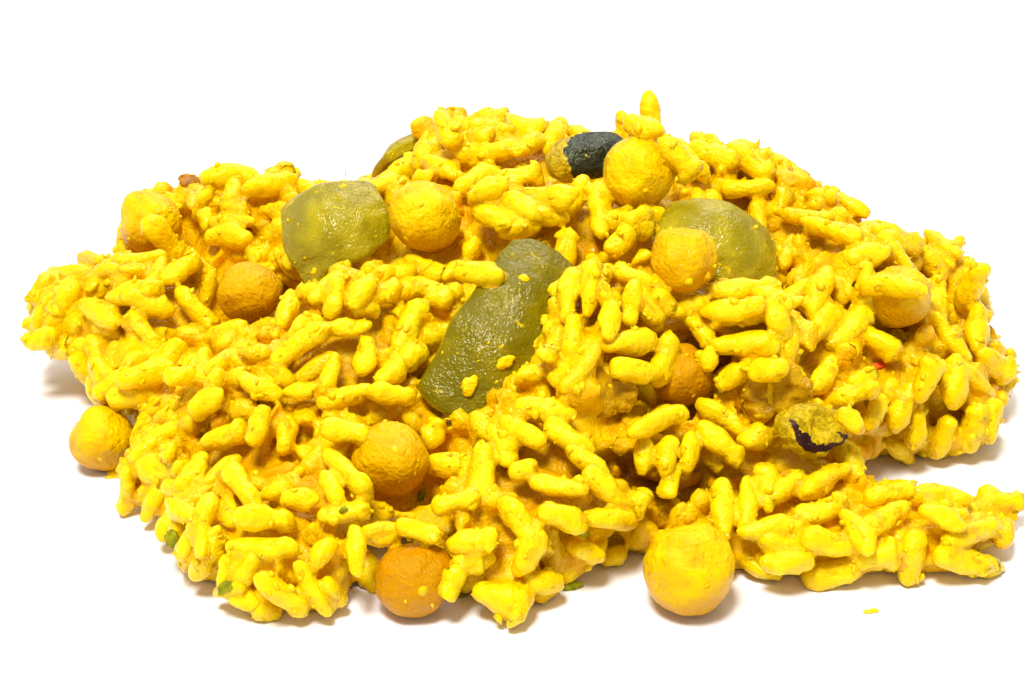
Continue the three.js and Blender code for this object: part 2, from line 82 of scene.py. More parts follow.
MM = 0.001
OFF_TABLE_MM = 0.05  # how far grains and crumbs stay over the table
BODY = "root"
RICE_NODE = "rice_heap"


# ---- Colours and shader nodes ----


def linear(code: str) -> tuple[float, float, float, float]:
    """Turns an sRGB hex colour into linear RGBA.

    Args:
        code: Six hex digits, such as "ffcc00".

    Returns:
        Red, green, blue and alpha as the shader needs them.
    """
    shares = [int(code[i : i + 2], 16) / 255 for i in (0, 2, 4)]
    low = [c / 12.92 if c <= 0.04045 else ((c + 0.055) / 1.055) ** 2.4 for c in shares]
    return low[0], low[1], low[2], 1.0


def per_metre(size_mm: float) -> float:
    """The scale of a noise or Voronoi texture whose features are size_mm apart."""
    return 1000.0 / size_mm


def add_node(tree: NodeTree, kind: str, settings: dict | None = None, inputs: dict | None = None):
    """Adds a shader node.

    Args:
        tree: The node tree of a material or a world.
        kind: The node's type name.
        settings: Properties of the node by name.
        inputs: Values or output sockets by input name or number; a socket is linked.

    Returns:
        The new node.
    """
    node = tree.nodes.new(kind)
    for name, value in (settings or {}).items():
        setattr(node, name, value)
    for name, value in (inputs or {}).items():
        if isinstance(value, NodeSocket):
            tree.links.new(value, node.inputs[name])
        else:
            node.inputs[name].default_value = value
    return node


class Mix(Enum):
    """Input and output numbers of the Mix node in its colour form."""

    FACTOR = 0
    FIRST = 6
    SECOND = 7
    RESULT = 2


def mixed(tree: NodeTree, factor, first, second):
    """The colour between first and second by factor, as an output socket."""
    inputs = {Mix.FACTOR.value: factor, Mix.FIRST.value: first, Mix.SECOND.value: second}
    node = add_node(tree, "ShaderNodeMix", {"data_type": "RGBA"}, inputs)
    return node.outputs[Mix.RESULT.value]


def ramp(tree: NodeTree, value, low: float, high: float):
    """A smooth step of value from 0 at low to 1 at high, as an output socket."""
    inputs = {"Value": value, "From Min": low, "From Max": high}
    node = add_node(tree, "ShaderNodeMapRange", {"interpolation_type": "SMOOTHSTEP"}, inputs)
    return node.outputs["Result"]


def patchy(tree: NodeTree, pattern, low: float, high: float, first: str, second: str):
    """Two hex colours that meet where a pattern goes from low to high, as an output socket."""
    return mixed(tree, ramp(tree, pattern, low, high), linear(first), linear(second))


def scaled(tree: NodeTree, value, at_zero: float, at_one: float):
    """A number that goes from at_zero to at_one while value goes from 0 to 1, as an output socket."""
    inputs = {"Value": value, "To Min": at_zero, "To Max": at_one}
    return add_node(tree, "ShaderNodeMapRange", inputs=inputs).outputs["Result"]


def clouds(tree: NodeTree, size_mm: float, detail: float = 2.0, distortion: float = 0.0):
    """Noise on object coordinates with features of size_mm, as an output socket from 0 to 1."""
    place = add_node(tree, "ShaderNodeTexCoord").outputs["Object"]
    inputs = {"Vector": place, "Scale": per_metre(size_mm), "Detail": detail, "Distortion": distortion}
    return add_node(tree, "ShaderNodeTexNoise", inputs=inputs).outputs["Fac"]


def dots(tree: NodeTree, pitch_mm: float, radius_mm: float, share: float):
    """Small round dots, one in each cell of a Voronoi pattern, of which only a share shows.

    Args:
        tree: The material's node tree.
        pitch_mm: The distance between neighbouring dots.
        radius_mm: The radius of a dot.
        share: How many of the dots show, from 0 to 1.

    Returns:
        An output socket, 1 on a dot and 0 between them.
    """
    place = add_node(tree, "ShaderNodeTexCoord").outputs["Object"]
    cells = add_node(tree, "ShaderNodeTexVoronoi", inputs={"Vector": place, "Scale": per_metre(pitch_mm)})
    radius = radius_mm / pitch_mm
    disc = ramp(tree, cells.outputs["Distance"], radius, radius * 0.6)
    chosen = add_node(tree, "ShaderNodeSeparateColor", inputs={"Color": cells.outputs["Color"]})
    lucky = add_node(tree, "ShaderNodeMath", {"operation": "LESS_THAN"}, {0: chosen.outputs["Red"], 1: share})
    both = add_node(tree, "ShaderNodeMath", {"operation": "MULTIPLY"}, {0: disc, 1: lucky.outputs["Value"]})
    return both.outputs["Value"]


def bumps(tree: NodeTree, heights: Sequence[Pair], detail: float = 2.0):
    """A chain of bump nodes over noise.

    Args:
        tree: The material's node tree.
        heights: For each layer, the feature size and the height, both in millimetres.
        detail: The noise detail of each layer.

    Returns:
        The Normal socket of the last bump node.
    """
    normal = None
    for size_mm, height_mm in heights:
        inputs = {"Height": clouds(tree, size_mm, detail), "Distance": height_mm * MM, "Strength": 1.0}
        if normal is not None:
            inputs["Normal"] = normal
        normal = add_node(tree, "ShaderNodeBump", inputs=inputs).outputs["Normal"]
    return normal


class Stored(Enum):
    """The numbers that pieces keep on their points for the materials."""

    # tone: random tone of grains and crumbs; on chickpeas also painted shade on the underside and the tone of
    # single peas
    TONE = "tone"
    # depth: painted shade of lying deep in the clefts, on grains and paste; on crumbs an even browner colour
    DEPTH = "depth"
    SKIN = "skin"


def attribute(tree: NodeTree, name: Stored):
    """A number stored on the mesh's points, as an output socket."""
    return add_node(tree, "ShaderNodeAttribute", {"attribute_name": name.value}).outputs["Fac"]


@dataclass(frozen=True)
class Finish:
    """What all finishes share: a name and the shader's even values.

    Attributes:
        name: The material's name.
        roughness: The shader's roughness.
        ior: Index of refraction.
        specular: Specular IOR level, 0.5 for the plain IOR.
        flesh: How much of the light travels inside the food before it leaves.
        travel_mm: How far red, green and blue light travel inside it.
        glint: The colour that its own shine takes from the stock on it.
        wet: Weight of the clear coat of liquid on it.
        wet_roughness: Roughness of that coat.
    """

    name: str
    roughness: float = 0.4
    ior: float = 1.45
    specular: float = 0.5
    flesh: float = 0.0
    travel_mm: tuple[float, float, float] = (1.5, 0.8, 0.2)
    glint: str = "ffffff"
    wet: float = 0.0
    wet_roughness: float = 0.15

    def shader(self) -> tuple[Material, NodeTree, Node]:
        """Makes the material with its even values.

        Returns:
            The material, its node tree and its principled shader.
        """
        material = bpy.data.materials.new(self.name)
        material.use_nodes = True
        tree = material.node_tree
        tree.nodes.clear()
        longest = max(self.travel_mm)
        inputs = {
            "Roughness": self.roughness,
            "IOR": self.ior,
            "Specular IOR Level": self.specular,
            "Specular Tint": linear(self.glint),
            "Subsurface Weight": self.flesh,
            "Subsurface Radius": tuple(t / longest for t in self.travel_mm),
            "Subsurface Scale": longest * MM,
            "Coat Weight": self.wet,
            "Coat Roughness": self.wet_roughness,
        }
        shader = add_node(tree, "ShaderNodeBsdfPrincipled", inputs=inputs)
        add_node(tree, "ShaderNodeOutputMaterial", inputs={"Surface": shader.outputs["BSDF"]})
        return material, tree, shader

    def paint(self, tree: NodeTree, shader: Node) -> None:
        """Adds the colours and the relief, which each finish does its own way."""
        raise NotImplementedError

    def build(self) -> Material:
        """Makes the whole material."""
        material, tree, shader = self.shader()
        self.paint(tree, shader)
        return material


def connect(tree: NodeTree, shader: Node, **sockets) -> None:
    """Links sockets to the shader's inputs, whose names are written with underscores."""
    for name, socket in sockets.items():
        tree.links.new(socket, shader.inputs[name.replace("_", " ")])


def finish_relief(tree: NodeTree, shader: Node, normal) -> None:
    """Gives the shader and its coat of liquid the same fine relief."""
    connect(tree, shader, Normal=normal, Coat_Normal=normal)


@dataclass(frozen=True)
class Starch(Finish):
    """What the rice and its paste share: moist, soft, and with light passing some way through."""

    roughness: float = 0.22
    specular: float = 0.5
    flesh: float = 0.3
    travel_mm: tuple[float, float, float] = (2.0, 1.5, 0.1)
    glint: str = "ffe060"
    wet: float = 0.16
    wet_roughness: float = 0.07


@dataclass(frozen=True)
class CookedRice(Starch):
    """Parboiled rice boiled in stock with turmeric: soft, moist and a little see-through at its edges.

    The eye sees a saturated yellow that differs from grain to grain, painted shade on grains lying deep in
    the clefts, small wet glints on an uneven surface, and now and then a dark speck of ground spice.
    """

    name: str = "cooked_rice"
    lit: str = "f0c500"
    pale: str = "f6d40a"
    deep: str = "e8ae00"
    # painted shade: the colour of grains that lie deep in the clefts
    sunk: str = "c07c00"
    speck: str = "5a3000"
    # the shine where that painted shade is full
    deep_shine: float = 0.1

    def paint(self, tree: NodeTree, shader: Node) -> None:
        """Adds the colours and the relief."""
        body = patchy(tree, clouds(tree, 2.6), 0.42, 0.68, self.lit, self.pale)
        toned = mixed(tree, ramp(tree, attribute(tree, Stored.TONE), 0.0, 1.0), body, linear(self.deep))
        # painted shade: grains that lie deep take the sunk colour, and their shine fades with it
        sunk = mixed(tree, attribute(tree, Stored.DEPTH), toned, linear(self.sunk))
        specks = dots(tree, 2.4, 0.12, 0.09)
        shine = scaled(tree, attribute(tree, Stored.DEPTH), self.specular, self.deep_shine)
        colour = mixed(tree, specks, sunk, linear(self.speck))
        connect(tree, shader, Base_Color=colour, Specular_IOR_Level=shine)
        finish_relief(tree, shader, bumps(tree, [(1.1, 0.35), (0.4, 0.16)]))


@dataclass(frozen=True)
class RicePaste(Starch):
    """Starch and curry paste between the grains: wet and lumpy, with painted shade browning it the deeper it
    lies.
    """

    name: str = "rice_paste"
    thick: str = "f0c200"
    thin: str = "e8ac00"
    # painted shade: the brown of paste deep in the clefts
    painted_crevice_shade: str = "6e3c00"
    # the shine where that painted shade is full
    deep_shine: float = 0.05

    def paint(self, tree: NodeTree, shader: Node) -> None:
        """Adds the colours and the relief."""
        body = patchy(tree, clouds(tree, 3.5, 3.0), 0.35, 0.65, self.thin, self.thick)
        # painted shade: the paste browns with its depth under the outline, and its shine fades with it
        sunk = mixed(tree, attribute(tree, Stored.DEPTH), body, linear(self.painted_crevice_shade))
        shine = scaled(tree, attribute(tree, Stored.DEPTH), self.specular, self.deep_shine)
        connect(tree, shader, Base_Color=sunk, Specular_IOR_Level=shine)
        finish_relief(tree, shader, bumps(tree, [(1.3, 0.6), (0.5, 0.22)], 3.0))


@dataclass(frozen=True)
class ChickpeaSkin(Finish):
    """Boiled chickpea in its thin skin: warm yellow with a matt bloom, and wet glints where it is damp."""

    name: str = "chickpea_skin"
    roughness: float = 0.4
    specular: float = 0.4
    flesh: float = 0.12
    travel_mm: tuple[float, float, float] = (1.4, 1.1, 0.2)
    glint: str = "ffd020"
    wet: float = 0.14
    wet_roughness: float = 0.08
    lit: str = "eec200"
    # the colour of patches of the skin, and of the painted shade on the underside
    deep: str = "c28400"
    speck: str = "8a4c06"

    def paint(self, tree: NodeTree, shader: Node) -> None:
        """Adds the colours and the relief."""
        body = patchy(tree, clouds(tree, 4.0, 3.0), 0.42, 0.9, self.lit, self.deep)
        # painted shade: the stored tone darkens the underside, and single peas that lie in shadow
        toned = mixed(tree, attribute(tree, Stored.TONE), body, linear(self.deep))
        specks = dots(tree, 2.2, 0.12, 0.12)
        connect(tree, shader, Base_Color=mixed(tree, specks, toned, linear(self.speck)))
        finish_relief(tree, shader, bumps(tree, [(1.5, 0.55), (0.6, 0.35)], 3.0))


@dataclass(frozen=True)
class PepperSkin(Finish):
    """Green pepper cooked to olive: a smooth wet skin with a film of starch, and paler juicy flesh."""

    name: str = "green_pepper"
    roughness: float = 0.3
    specular: float = 0.3
    flesh: float = 0.0
    glint: str = "e8d040"
    wet: float = 0.4
    wet_roughness: float = 0.1
    skin: str = "6c6000"
    skin_pale: str = "827200"
    flesh_colour: str = "a8960c"
    starch: str = "d2b010"

    def paint(self, tree: NodeTree, shader: Node) -> None:
        """Adds the colours and the relief."""
        skin = patchy(tree, clouds(tree, 4.5, 3.0), 0.4, 0.72, self.skin, self.skin_pale)
        body = mixed(tree, attribute(tree, Stored.SKIN), linear(self.flesh_colour), skin)
        film = ramp(tree, clouds(tree, 2.0, 4.0, 0.6), 0.64, 0.74)
        connect(tree, shader, Base_Color=mixed(tree, film, body, linear(self.starch)))
        finish_relief(tree, shader, bumps(tree, [(2.2, 0.3), (0.8, 0.2), (0.4, 0.12)], 2.0))


@dataclass(frozen=True)
class AubergineFlesh(Finish):
    """Cooked aubergine: dark glossy skin, and spongy flesh that has taken up the yellow stock."""

    name: str = "aubergine"
    roughness: float = 0.34
    specular: float = 0.5
    flesh: float = 0.0
    glint: str = "f0e8a0"
    wet: float = 0.25
    wet_roughness: float = 0.12
    skin: str = "10160e"
    bloom: str = "2e3828"
    flesh_colour: str = "a08200"
    pale: str = "ccac10"
    ragged: float = 1.1

    def paint(self, tree: NodeTree, shader: Node) -> None:
        """Adds the colours and the relief."""
        skin = patchy(tree, clouds(tree, 2.6, 3.0), 0.4, 0.75, self.skin, self.bloom)
        sponge = patchy(tree, clouds(tree, 1.1, 2.0, 1.5), 0.35, 0.65, self.flesh_colour, self.pale)
        inputs = {0: clouds(tree, 0.8, 4.0), 1: self.ragged, 2: attribute(tree, Stored.SKIN)}
        torn = add_node(tree, "ShaderNodeMath", {"operation": "MULTIPLY_ADD"}, inputs)
        edge = ramp(tree, torn.outputs["Value"], 0.96, 1.06)
        connect(tree, shader, Base_Color=mixed(tree, edge, sponge, skin))
        finish_relief(tree, shader, bumps(tree, [(1.8, 0.6), (0.5, 0.3)], 3.0))


@dataclass(frozen=True)
class OnionFlesh(Finish):
    """Onion cooked until glassy: pale yellow, wet, with light passing through it."""

    name: str = "onion"
    roughness: float = 0.3
    specular: float = 0.2
    flesh: float = 0.3
    travel_mm: tuple[float, float, float] = (2.4, 1.8, 0.2)
    glint: str = "e8c840"
    wet: float = 0.25
    wet_roughness: float = 0.1
    body: str = "c89a06"
    vein: str = "a87a02"

    def paint(self, tree: NodeTree, shader: Node) -> None:
        """Adds the colours and the relief."""
        body = patchy(tree, clouds(tree, 2.2, 3.0), 0.35, 0.7, self.body, self.vein)
        connect(tree, shader, Base_Color=body)
        finish_relief(tree, shader, bumps(tree, [(1.6, 0.5), (0.5, 0.25)]))


@dataclass(frozen=True)
class SpiceFleck(Finish):
    """A bit of cooked chilli or herb: thin, damp and of one colour, a little uneven."""

    name: str = "fleck"
    roughness: float = 0.4
    specular: float = 0.15
    flesh: float = 0.2
    body: str = "e46408"
    dark: str = "bc4400"

    def paint(self, tree: NodeTree, shader: Node) -> None:
        """Adds the colours and the relief."""
        connect(tree, shader, Base_Color=patchy(tree, clouds(tree, 0.9), 0.35, 0.7, self.body, self.dark))
        finish_relief(tree, shader, bumps(tree, [(0.6, 0.1)]))


@dataclass(frozen=True)
class Tabletop(Finish):
    """The bare white surface: a smooth matt sheet, so bright that the photograph shows it as plain white."""

    name: str = "white_table"
    roughness: float = 0.7
    specular: float = 0.2
    body: str = "f6f3f0"
    cloud: str = "f2efec"

    def paint(self, tree: NodeTree, shader: Node) -> None:
        """Adds the colours and the relief."""
        connect(tree, shader, Base_Color=patchy(tree, clouds(tree, 60.0), 0.3, 0.7, self.body, self.cloud))


# ---- Mesh helpers ----


def deselect_all() -> None:
    """Leaves edit mode and deselects every object."""
    if bpy.context.mode != "OBJECT":
        bpy.ops.object.mode_set(mode="OBJECT")
    bpy.ops.object.select_all(action="DESELECT")


def make_active(piece: Object) -> Object:
    """Selects one object alone and makes it active."""
    deselect_all()
    piece.select_set(True)
    bpy.context.view_layer.objects.active = piece
    return piece


def apply_modifier(piece: Object, kind: str, **settings) -> None:
    """Adds a modifier with its settings and applies it."""
    make_active(piece)
    modifier = piece.modifiers.new(kind.lower(), kind)
    for name, value in settings.items():
        setattr(modifier, name, value)
    bpy.ops.object.modifier_apply(modifier=modifier.name)


def points_of(mesh: Mesh) -> np.ndarray:
    """The mesh's points as rows of x, y and z, in metres."""
    found = np.empty(len(mesh.vertices) * 3, np.float32)
    mesh.vertices.foreach_get("co", found)
    return found.reshape(-1, 3).astype(float)


def normals_of(mesh: Mesh) -> np.ndarray:
    """The mesh's point normals as rows."""
    found = np.empty(len(mesh.vertices) * 3, np.float32)
    mesh.vertex_normals.foreach_get("vector", found)
    return found.reshape(-1, 3).astype(float)


def triangles_of(mesh: Mesh) -> np.ndarray:
    """The mesh's triangles as rows of three point numbers."""
    mesh.calc_loop_triangles()
    found = np.empty(len(mesh.loop_triangles) * 3, np.int32)
    mesh.loop_triangles.foreach_get("vertices", found)
    return found.reshape(-1, 3)


def set_points(mesh: Mesh, points: np.ndarray) -> None:
    """Moves the mesh's points."""
    mesh.vertices.foreach_set("co", points.astype(np.float32).ravel())
    mesh.update()


def store(mesh: Mesh, name: Stored, values: np.ndarray) -> None:
    """Keeps one number for each point of the mesh."""
    layer = mesh.attributes.new(name.value, "FLOAT", "POINT")
    layer.data.foreach_set("value", np.asarray(values, np.float32))


def linked(name: str, data: bpy.types.ID) -> Object:
    """Makes an object of a mesh, a lamp or a camera and links it to the scene."""
    made = bpy.data.objects.new(name, data)
    bpy.context.scene.collection.objects.link(made)
    return made


def new_piece(name: str, points: np.ndarray, faces: np.ndarray) -> Object:
    """Makes a smooth object from arrays.

    Args:
        name: The piece's name.
        points: Rows of x, y and z in metres.
        faces: Rows of three point numbers.

    Returns:
        The object, linked to the scene.
    """
    mesh = bpy.data.meshes.new(name)
    mesh.vertices.add(len(points))
    mesh.vertices.foreach_set("co", points.astype(np.float32).ravel())
    mesh.loops.add(faces.size)
    mesh.loops.foreach_set("vertex_index", faces.astype(np.int32).ravel())
    mesh.polygons.add(len(faces))
    mesh.polygons.foreach_set("loop_start", np.arange(0, faces.size, 3, dtype=np.int32))
    mesh.polygons.foreach_set("use_smooth", np.ones(len(faces), bool))
    mesh.update(calc_edges=True)
    return linked(name, mesh)


def copy_of_node(node: Object, name: str) -> Object:
    """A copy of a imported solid, its loose triangles merged into one closed surface."""
    piece = linked(name, node.data.copy())
    piece.data.materials.clear()
    make_active(piece)
    bpy.ops.mesh.customdata_custom_splitnormals_clear()
    bpy.ops.object.mode_set(mode="EDIT")
    bpy.ops.mesh.select_all(action="SELECT")
    bpy.ops.mesh.remove_doubles(threshold=0.02 * MM)
    bpy.ops.mesh.tris_convert_to_quads()
    bpy.ops.object.mode_set(mode="OBJECT")
    return piece


def dress(piece: Object, material: Material) -> Object:
    """Gives a piece its material and its ride."""
    piece.data.materials.clear()
    piece.data.materials.append(material)
    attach(piece, BODY)
    return piece


def surface_of(pieces: Iterable[Object]) -> BVHTree:
    """One search tree over the surfaces of several pieces."""
    points, faces, start = [], [], 0
    for piece in pieces:
        own = points_of(piece.data)
        points.append(own)
        faces.append(triangles_of(piece.data) + start)
        start += len(own)
    joined = np.concatenate(points)
    return BVHTree.FromPolygons([Vector(p) for p in joined], np.concatenate(faces).tolist())


def waves(points: np.ndarray, pitch_mm: float, seed: int) -> np.ndarray:
    """Smooth noise from about -1 to 1 at each point, with features of pitch_mm."""
    shifted = points / (pitch_mm * MM) + seed * 17.3
    return np.array([noise.noise(Vector(p)) for p in shifted])


def roughen(points: np.ndarray, outward: np.ndarray, relief: Relief, seed: int) -> None:
    """Moves points outward by layers of noise, each of a feature size and a height in millimetres."""
    for number, (pitch, rise) in enumerate(relief):
        points += outward * (waves(points, pitch, seed + number) * rise * MM)[:, None]


def ball_model(subdivisions: int, radius: float) -> tuple[np.ndarray, np.ndarray]:
    """The points and the triangles of a ball."""
    deselect_all()
    bpy.ops.mesh.primitive_ico_sphere_add(subdivisions=subdivisions, radius=radius)
    ball = bpy.context.active_object
    found = points_of(ball.data), triangles_of(ball.data)
    bpy.data.objects.remove(ball)
    return found


def many(name: str, points: np.ndarray, faces: np.ndarray, tones: np.ndarray, depths: np.ndarray) -> Object:
    """Makes one piece of many copies of a model.

    Args:
        name: The piece's name.
        points: The points of each copy, in metres.
        faces: The model's triangles.
        tones: The tone of each copy.
        depths: How far it browns: painted shade for grains deep in the clefts, an even browner colour for
            crumbs.

    Returns:
        The piece.
    """
    count, size = points.shape[:2]
    corners = faces[None] + (np.arange(count) * size)[:, None, None]
    piece = new_piece(name, points.reshape(-1, 3), corners.reshape(-1, 3))
    store(piece.data, Stored.TONE, np.repeat(tones, size))
    store(piece.data, Stored.DEPTH, np.repeat(depths, size))
    return piece


def unit(rows: np.ndarray) -> np.ndarray:
    """The rows scaled to length 1."""
    return rows / np.maximum(np.linalg.norm(rows, axis=-1, keepdims=True), 1e-9)


def outside(point: np.ndarray, surface: BVHTree) -> float:
    """How far a point in millimetres lies outside a surface."""
    spot = Vector(point) * MM
    place, normal, _, apart = surface.find_nearest(spot)
    return math.copysign(apart, (spot - place).dot(normal)) / MM


def drawn_places(corners: np.ndarray, facing: float, lowest: float, count: int, random: np.random.Generator):
    """Draws places evenly over the triangles that show.

    Args:
        corners: The corners of each triangle.
        facing: The least that a triangle's direction points upwards.
        lowest: The least height of a triangle's middle.
        count: How many places.
        random: The stream of draws.

    Returns:
        The number of each place's triangle, the places, and the direction of every triangle.
    """
    normals = np.cross(corners[:, 1] - corners[:, 0], corners[:, 2] - corners[:, 0])
    area = np.linalg.norm(normals, axis=1)
    outs = unit(normals)
    area[(outs[:, 2] < facing) | (corners.mean(1)[:, 2] < lowest)] = 0.0
    chosen = random.choice(len(area), size=count, p=area / area.sum())
    shares = random.dirichlet((1, 1, 1), size=count)
    return chosen, (corners[chosen] * shares[:, :, None]).sum(1), outs


# ---- Camera ----


class Pixel(NamedTuple):
    """A place in the photograph, counted from its upper left corner."""

    x: float
    y: float


@dataclass(frozen=True)
class PhotoCamera:
    """The camera that took the photograph, as its perspective shows.

    Attributes:
        target_mm: The point that the camera looks at.
        elevation: Degrees above the horizon.
        distance_mm: From the camera to the target.
        lens_mm: Focal length.
        sensor_mm: Width of the sensor.
        frame: Width and height of the photograph in pixels.
    """

    target_mm: tuple[float, float, float] = (-1.05, -5.87, 15.0)
    elevation: float = 26.0
    distance_mm: float = 325.0
    lens_mm: float = 75.0
    sensor_mm: float = 36.0
    frame: tuple[int, int] = (1024, 683)

    def back(self) -> Vector:
        """The direction from the target to the camera."""
        height = math.radians(self.elevation)
        return Vector((0.0, -math.cos(height), math.sin(height)))

    def above(self) -> Vector:
        """The direction that is up in the picture."""
        height = math.radians(self.elevation)
        return Vector((0.0, math.sin(height), math.cos(height)))

    def focal(self) -> float:
        """The focal length in pixels."""
        return self.lens_mm / self.sensor_mm * self.frame[0]

    def place(self) -> Vector:
        """The camera's place in metres."""
        return (Vector(self.target_mm) + self.back() * self.distance_mm) * MM

    def ray(self, pixel: Pixel) -> Vector:
        """The direction from the camera through a pixel."""
        right = (pixel.x - self.frame[0] / 2) / self.focal()
        up = (self.frame[1] / 2 - pixel.y) / self.focal()
        return (Vector((right, 0.0, 0.0)) + self.above() * up - self.back()).normalized()

    def pixels(self, points: np.ndarray) -> np.ndarray:
        """Where points, in metres, appear in the photograph."""
        offset = points - np.array(self.place())
        away = -offset @ np.array(self.back()) / self.focal()
        across = offset[:, 0] / away
        up = offset @ np.array(self.above()) / away
        return np.stack([self.frame[0] / 2 + across, self.frame[1] / 2 - up], axis=1)

    def inside(self, points: np.ndarray, edge: Sequence[Pixel], soft: float = 4.0) -> np.ndarray:
        """How far points appear inside a line of pixels.

        Args:
            points: The points in metres.
            edge: The line, which closes itself.
            soft: The width of the change at the line, in pixels.

        Returns:
            1 well inside it, 0 well outside and 0.5 on it.
        """
        seen = self.pixels(points)
        corners = np.array(edge, float)
        within = np.zeros(len(seen), bool)
        apart = np.full(len(seen), 1e9)
        for start, end in zip(corners, np.roll(corners, -1, axis=0)):
            side = end - start
            share = np.clip((seen - start) @ side / (side @ side), 0, 1)
            apart = np.minimum(apart, np.linalg.norm(seen - start - np.multiply.outer(share, side), axis=1))
            crosses = (start[1] > seen[:, 1]) != (end[1] > seen[:, 1])
            at = start[0] + (seen[:, 1] - start[1]) * side[0] / (side[1] if side[1] else 1e-9)
            within ^= crosses & (seen[:, 0] < at)
        return np.clip(0.5 + np.where(within, apart, -apart) / soft / 2, 0, 1)

    def create(self) -> Object:
        """Puts the camera in the scene and makes it the scene's own."""
        data = bpy.data.cameras.new("photo_camera")
        data.lens = self.lens_mm
        data.sensor_width = self.sensor_mm
        camera = linked("photo_camera", data)
        camera.location = self.place()
        camera.rotation_euler = (-self.back()).to_track_quat("-Z", "Y").to_euler()
        bpy.context.scene.camera = camera
        return camera


# ---- Toppings ----


@dataclass
class Chickpeas:
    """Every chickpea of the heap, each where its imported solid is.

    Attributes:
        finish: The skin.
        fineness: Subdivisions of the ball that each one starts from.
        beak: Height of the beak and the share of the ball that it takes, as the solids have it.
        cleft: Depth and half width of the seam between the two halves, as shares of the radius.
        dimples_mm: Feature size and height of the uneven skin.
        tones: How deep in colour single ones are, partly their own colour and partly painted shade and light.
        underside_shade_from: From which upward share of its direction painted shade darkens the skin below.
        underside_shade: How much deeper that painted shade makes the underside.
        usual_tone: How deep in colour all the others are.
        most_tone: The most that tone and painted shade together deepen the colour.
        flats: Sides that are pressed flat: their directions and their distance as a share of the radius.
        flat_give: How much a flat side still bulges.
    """

    finish: ChickpeaSkin = field(default_factory=ChickpeaSkin)
    fineness: int = 5
    beak: Pair = (0.19, 0.45)
    cleft: Pair = (0.06, 0.2)
    dimples_mm: Relief = ((5.0, 0.6), (2.4, 0.22))
    tones: dict[str, float] = field(
        default_factory=lambda: {
            "chickpea_centre": 0.3,
            "chickpea_top": -0.3,
            "chickpea_left_shadow": 0.6,
            "chickpea_gap": 0.9,
            "chickpea_front_left": 1.0,
            "chickpea_hollow": 0.4,
        }
    )
    usual_tone: float = 0.05
    underside_shade_from: float = 0.35
    underside_shade: float = 0.8
    most_tone: float = 1.2
    flat_give: float = 0.2
    flats: dict[str, tuple[tuple[float, float, float, float], ...]] = field(
        default_factory=lambda: {
            "chickpea_centre": (
                *((-0.15, -0.7, 0.7, 0.86), (0.75, -0.45, 0.5, 0.88), (-0.85, -0.35, 0.4, 0.88)),
                *((0.0, 0.25, 1.0, 0.84), (0.45, -0.85, -0.3, 0.9)),
            ),
            "chickpea_top": ((-0.5, -0.7, 0.5, 0.9), (0.5, -0.6, 0.62, 0.92)),
            "chickpea_front": ((0.55, -0.6, 0.6, 0.93),),
        }
    )

    def shape(self, node: Object, seed: int) -> Object:
        """Models one chickpea over its solid.

        Args:
            node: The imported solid, which gives the centre, the radius and the beak's direction.
            seed: Chooses the seam's direction and the skin's unevenness.

        Returns:
            The chickpea.
        """
        solid = np.unique(points_of(node.data).round(6), axis=0)
        centre = solid.mean(0)
        reach = np.linalg.norm(solid - centre, axis=1)
        radius = float(np.median(reach))
        towards = (solid[reach.argmax()] - centre) / reach.max()
        deselect_all()
        bpy.ops.mesh.primitive_ico_sphere_add(subdivisions=self.fineness, radius=1.0)
        pea = bpy.context.active_object
        pea.name = node.name.replace("chickpea", "cooked_chickpea")
        ball = points_of(pea.data)
        side = np.cross(towards, [math.sin(seed), math.cos(seed), 0.4])
        side /= np.linalg.norm(side)
        height, share = self.beak
        depth, half = self.cleft
        along = ball @ towards
        across = ball @ side
        around = np.maximum(0.0, ball @ np.cross(side, towards))
        size = 1.0 + height * (np.maximum(0.0, along - 1 + share) / share) ** 2
        size -= depth * np.exp(-((across / half) ** 2)) * around
        for *facing, most in self.flats.get(node.name, ()):
            reached = ball @ (np.array(facing) / np.linalg.norm(facing)) * size
            pressed = self.flat_give + (1 - self.flat_give) * most / np.maximum(reached, most)
            size = np.where(reached > most, size * pressed, size)
        points = ball * (size * radius)[:, None]
        roughen(points, ball, self.dimples_mm, seed)
        set_points(pea.data, points + centre)
        bpy.ops.object.shade_smooth()
        # painted shade: the skin turns deeper towards the underside; single peas add their tone, partly
        # painted shade and light
        under = np.clip(self.underside_shade_from - normals_of(pea.data)[:, 2], 0, 1) * self.underside_shade
        own = self.tones.get(node.name, self.usual_tone)
        store(pea.data, Stored.TONE, np.clip(under + own, 0, self.most_tone))
        return pea

    def build(self, nodes: dict[str, Object]) -> list[Object]:
        """Models every chickpea and puts it in place of its solid."""
        skin = self.finish.build()
        peas = []
        for seed, name in enumerate(sorted(n for n in nodes if n.startswith("chickpea"))):
            peas.append(dress(self.shape(nodes[name], seed), skin))
            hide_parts(name)
        return peas


@dataclass(frozen=True)
class Cut:
    """How one chunk or strip is turned.

    Attributes:
        node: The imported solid's name.
        skin: The direction that its skin faces.
        edge: A line of pixels round the skin, where the photograph shows its edge.
    """

    node: str
    skin: tuple[float, float, float]
    edge: tuple[Pixel, ...] = ()


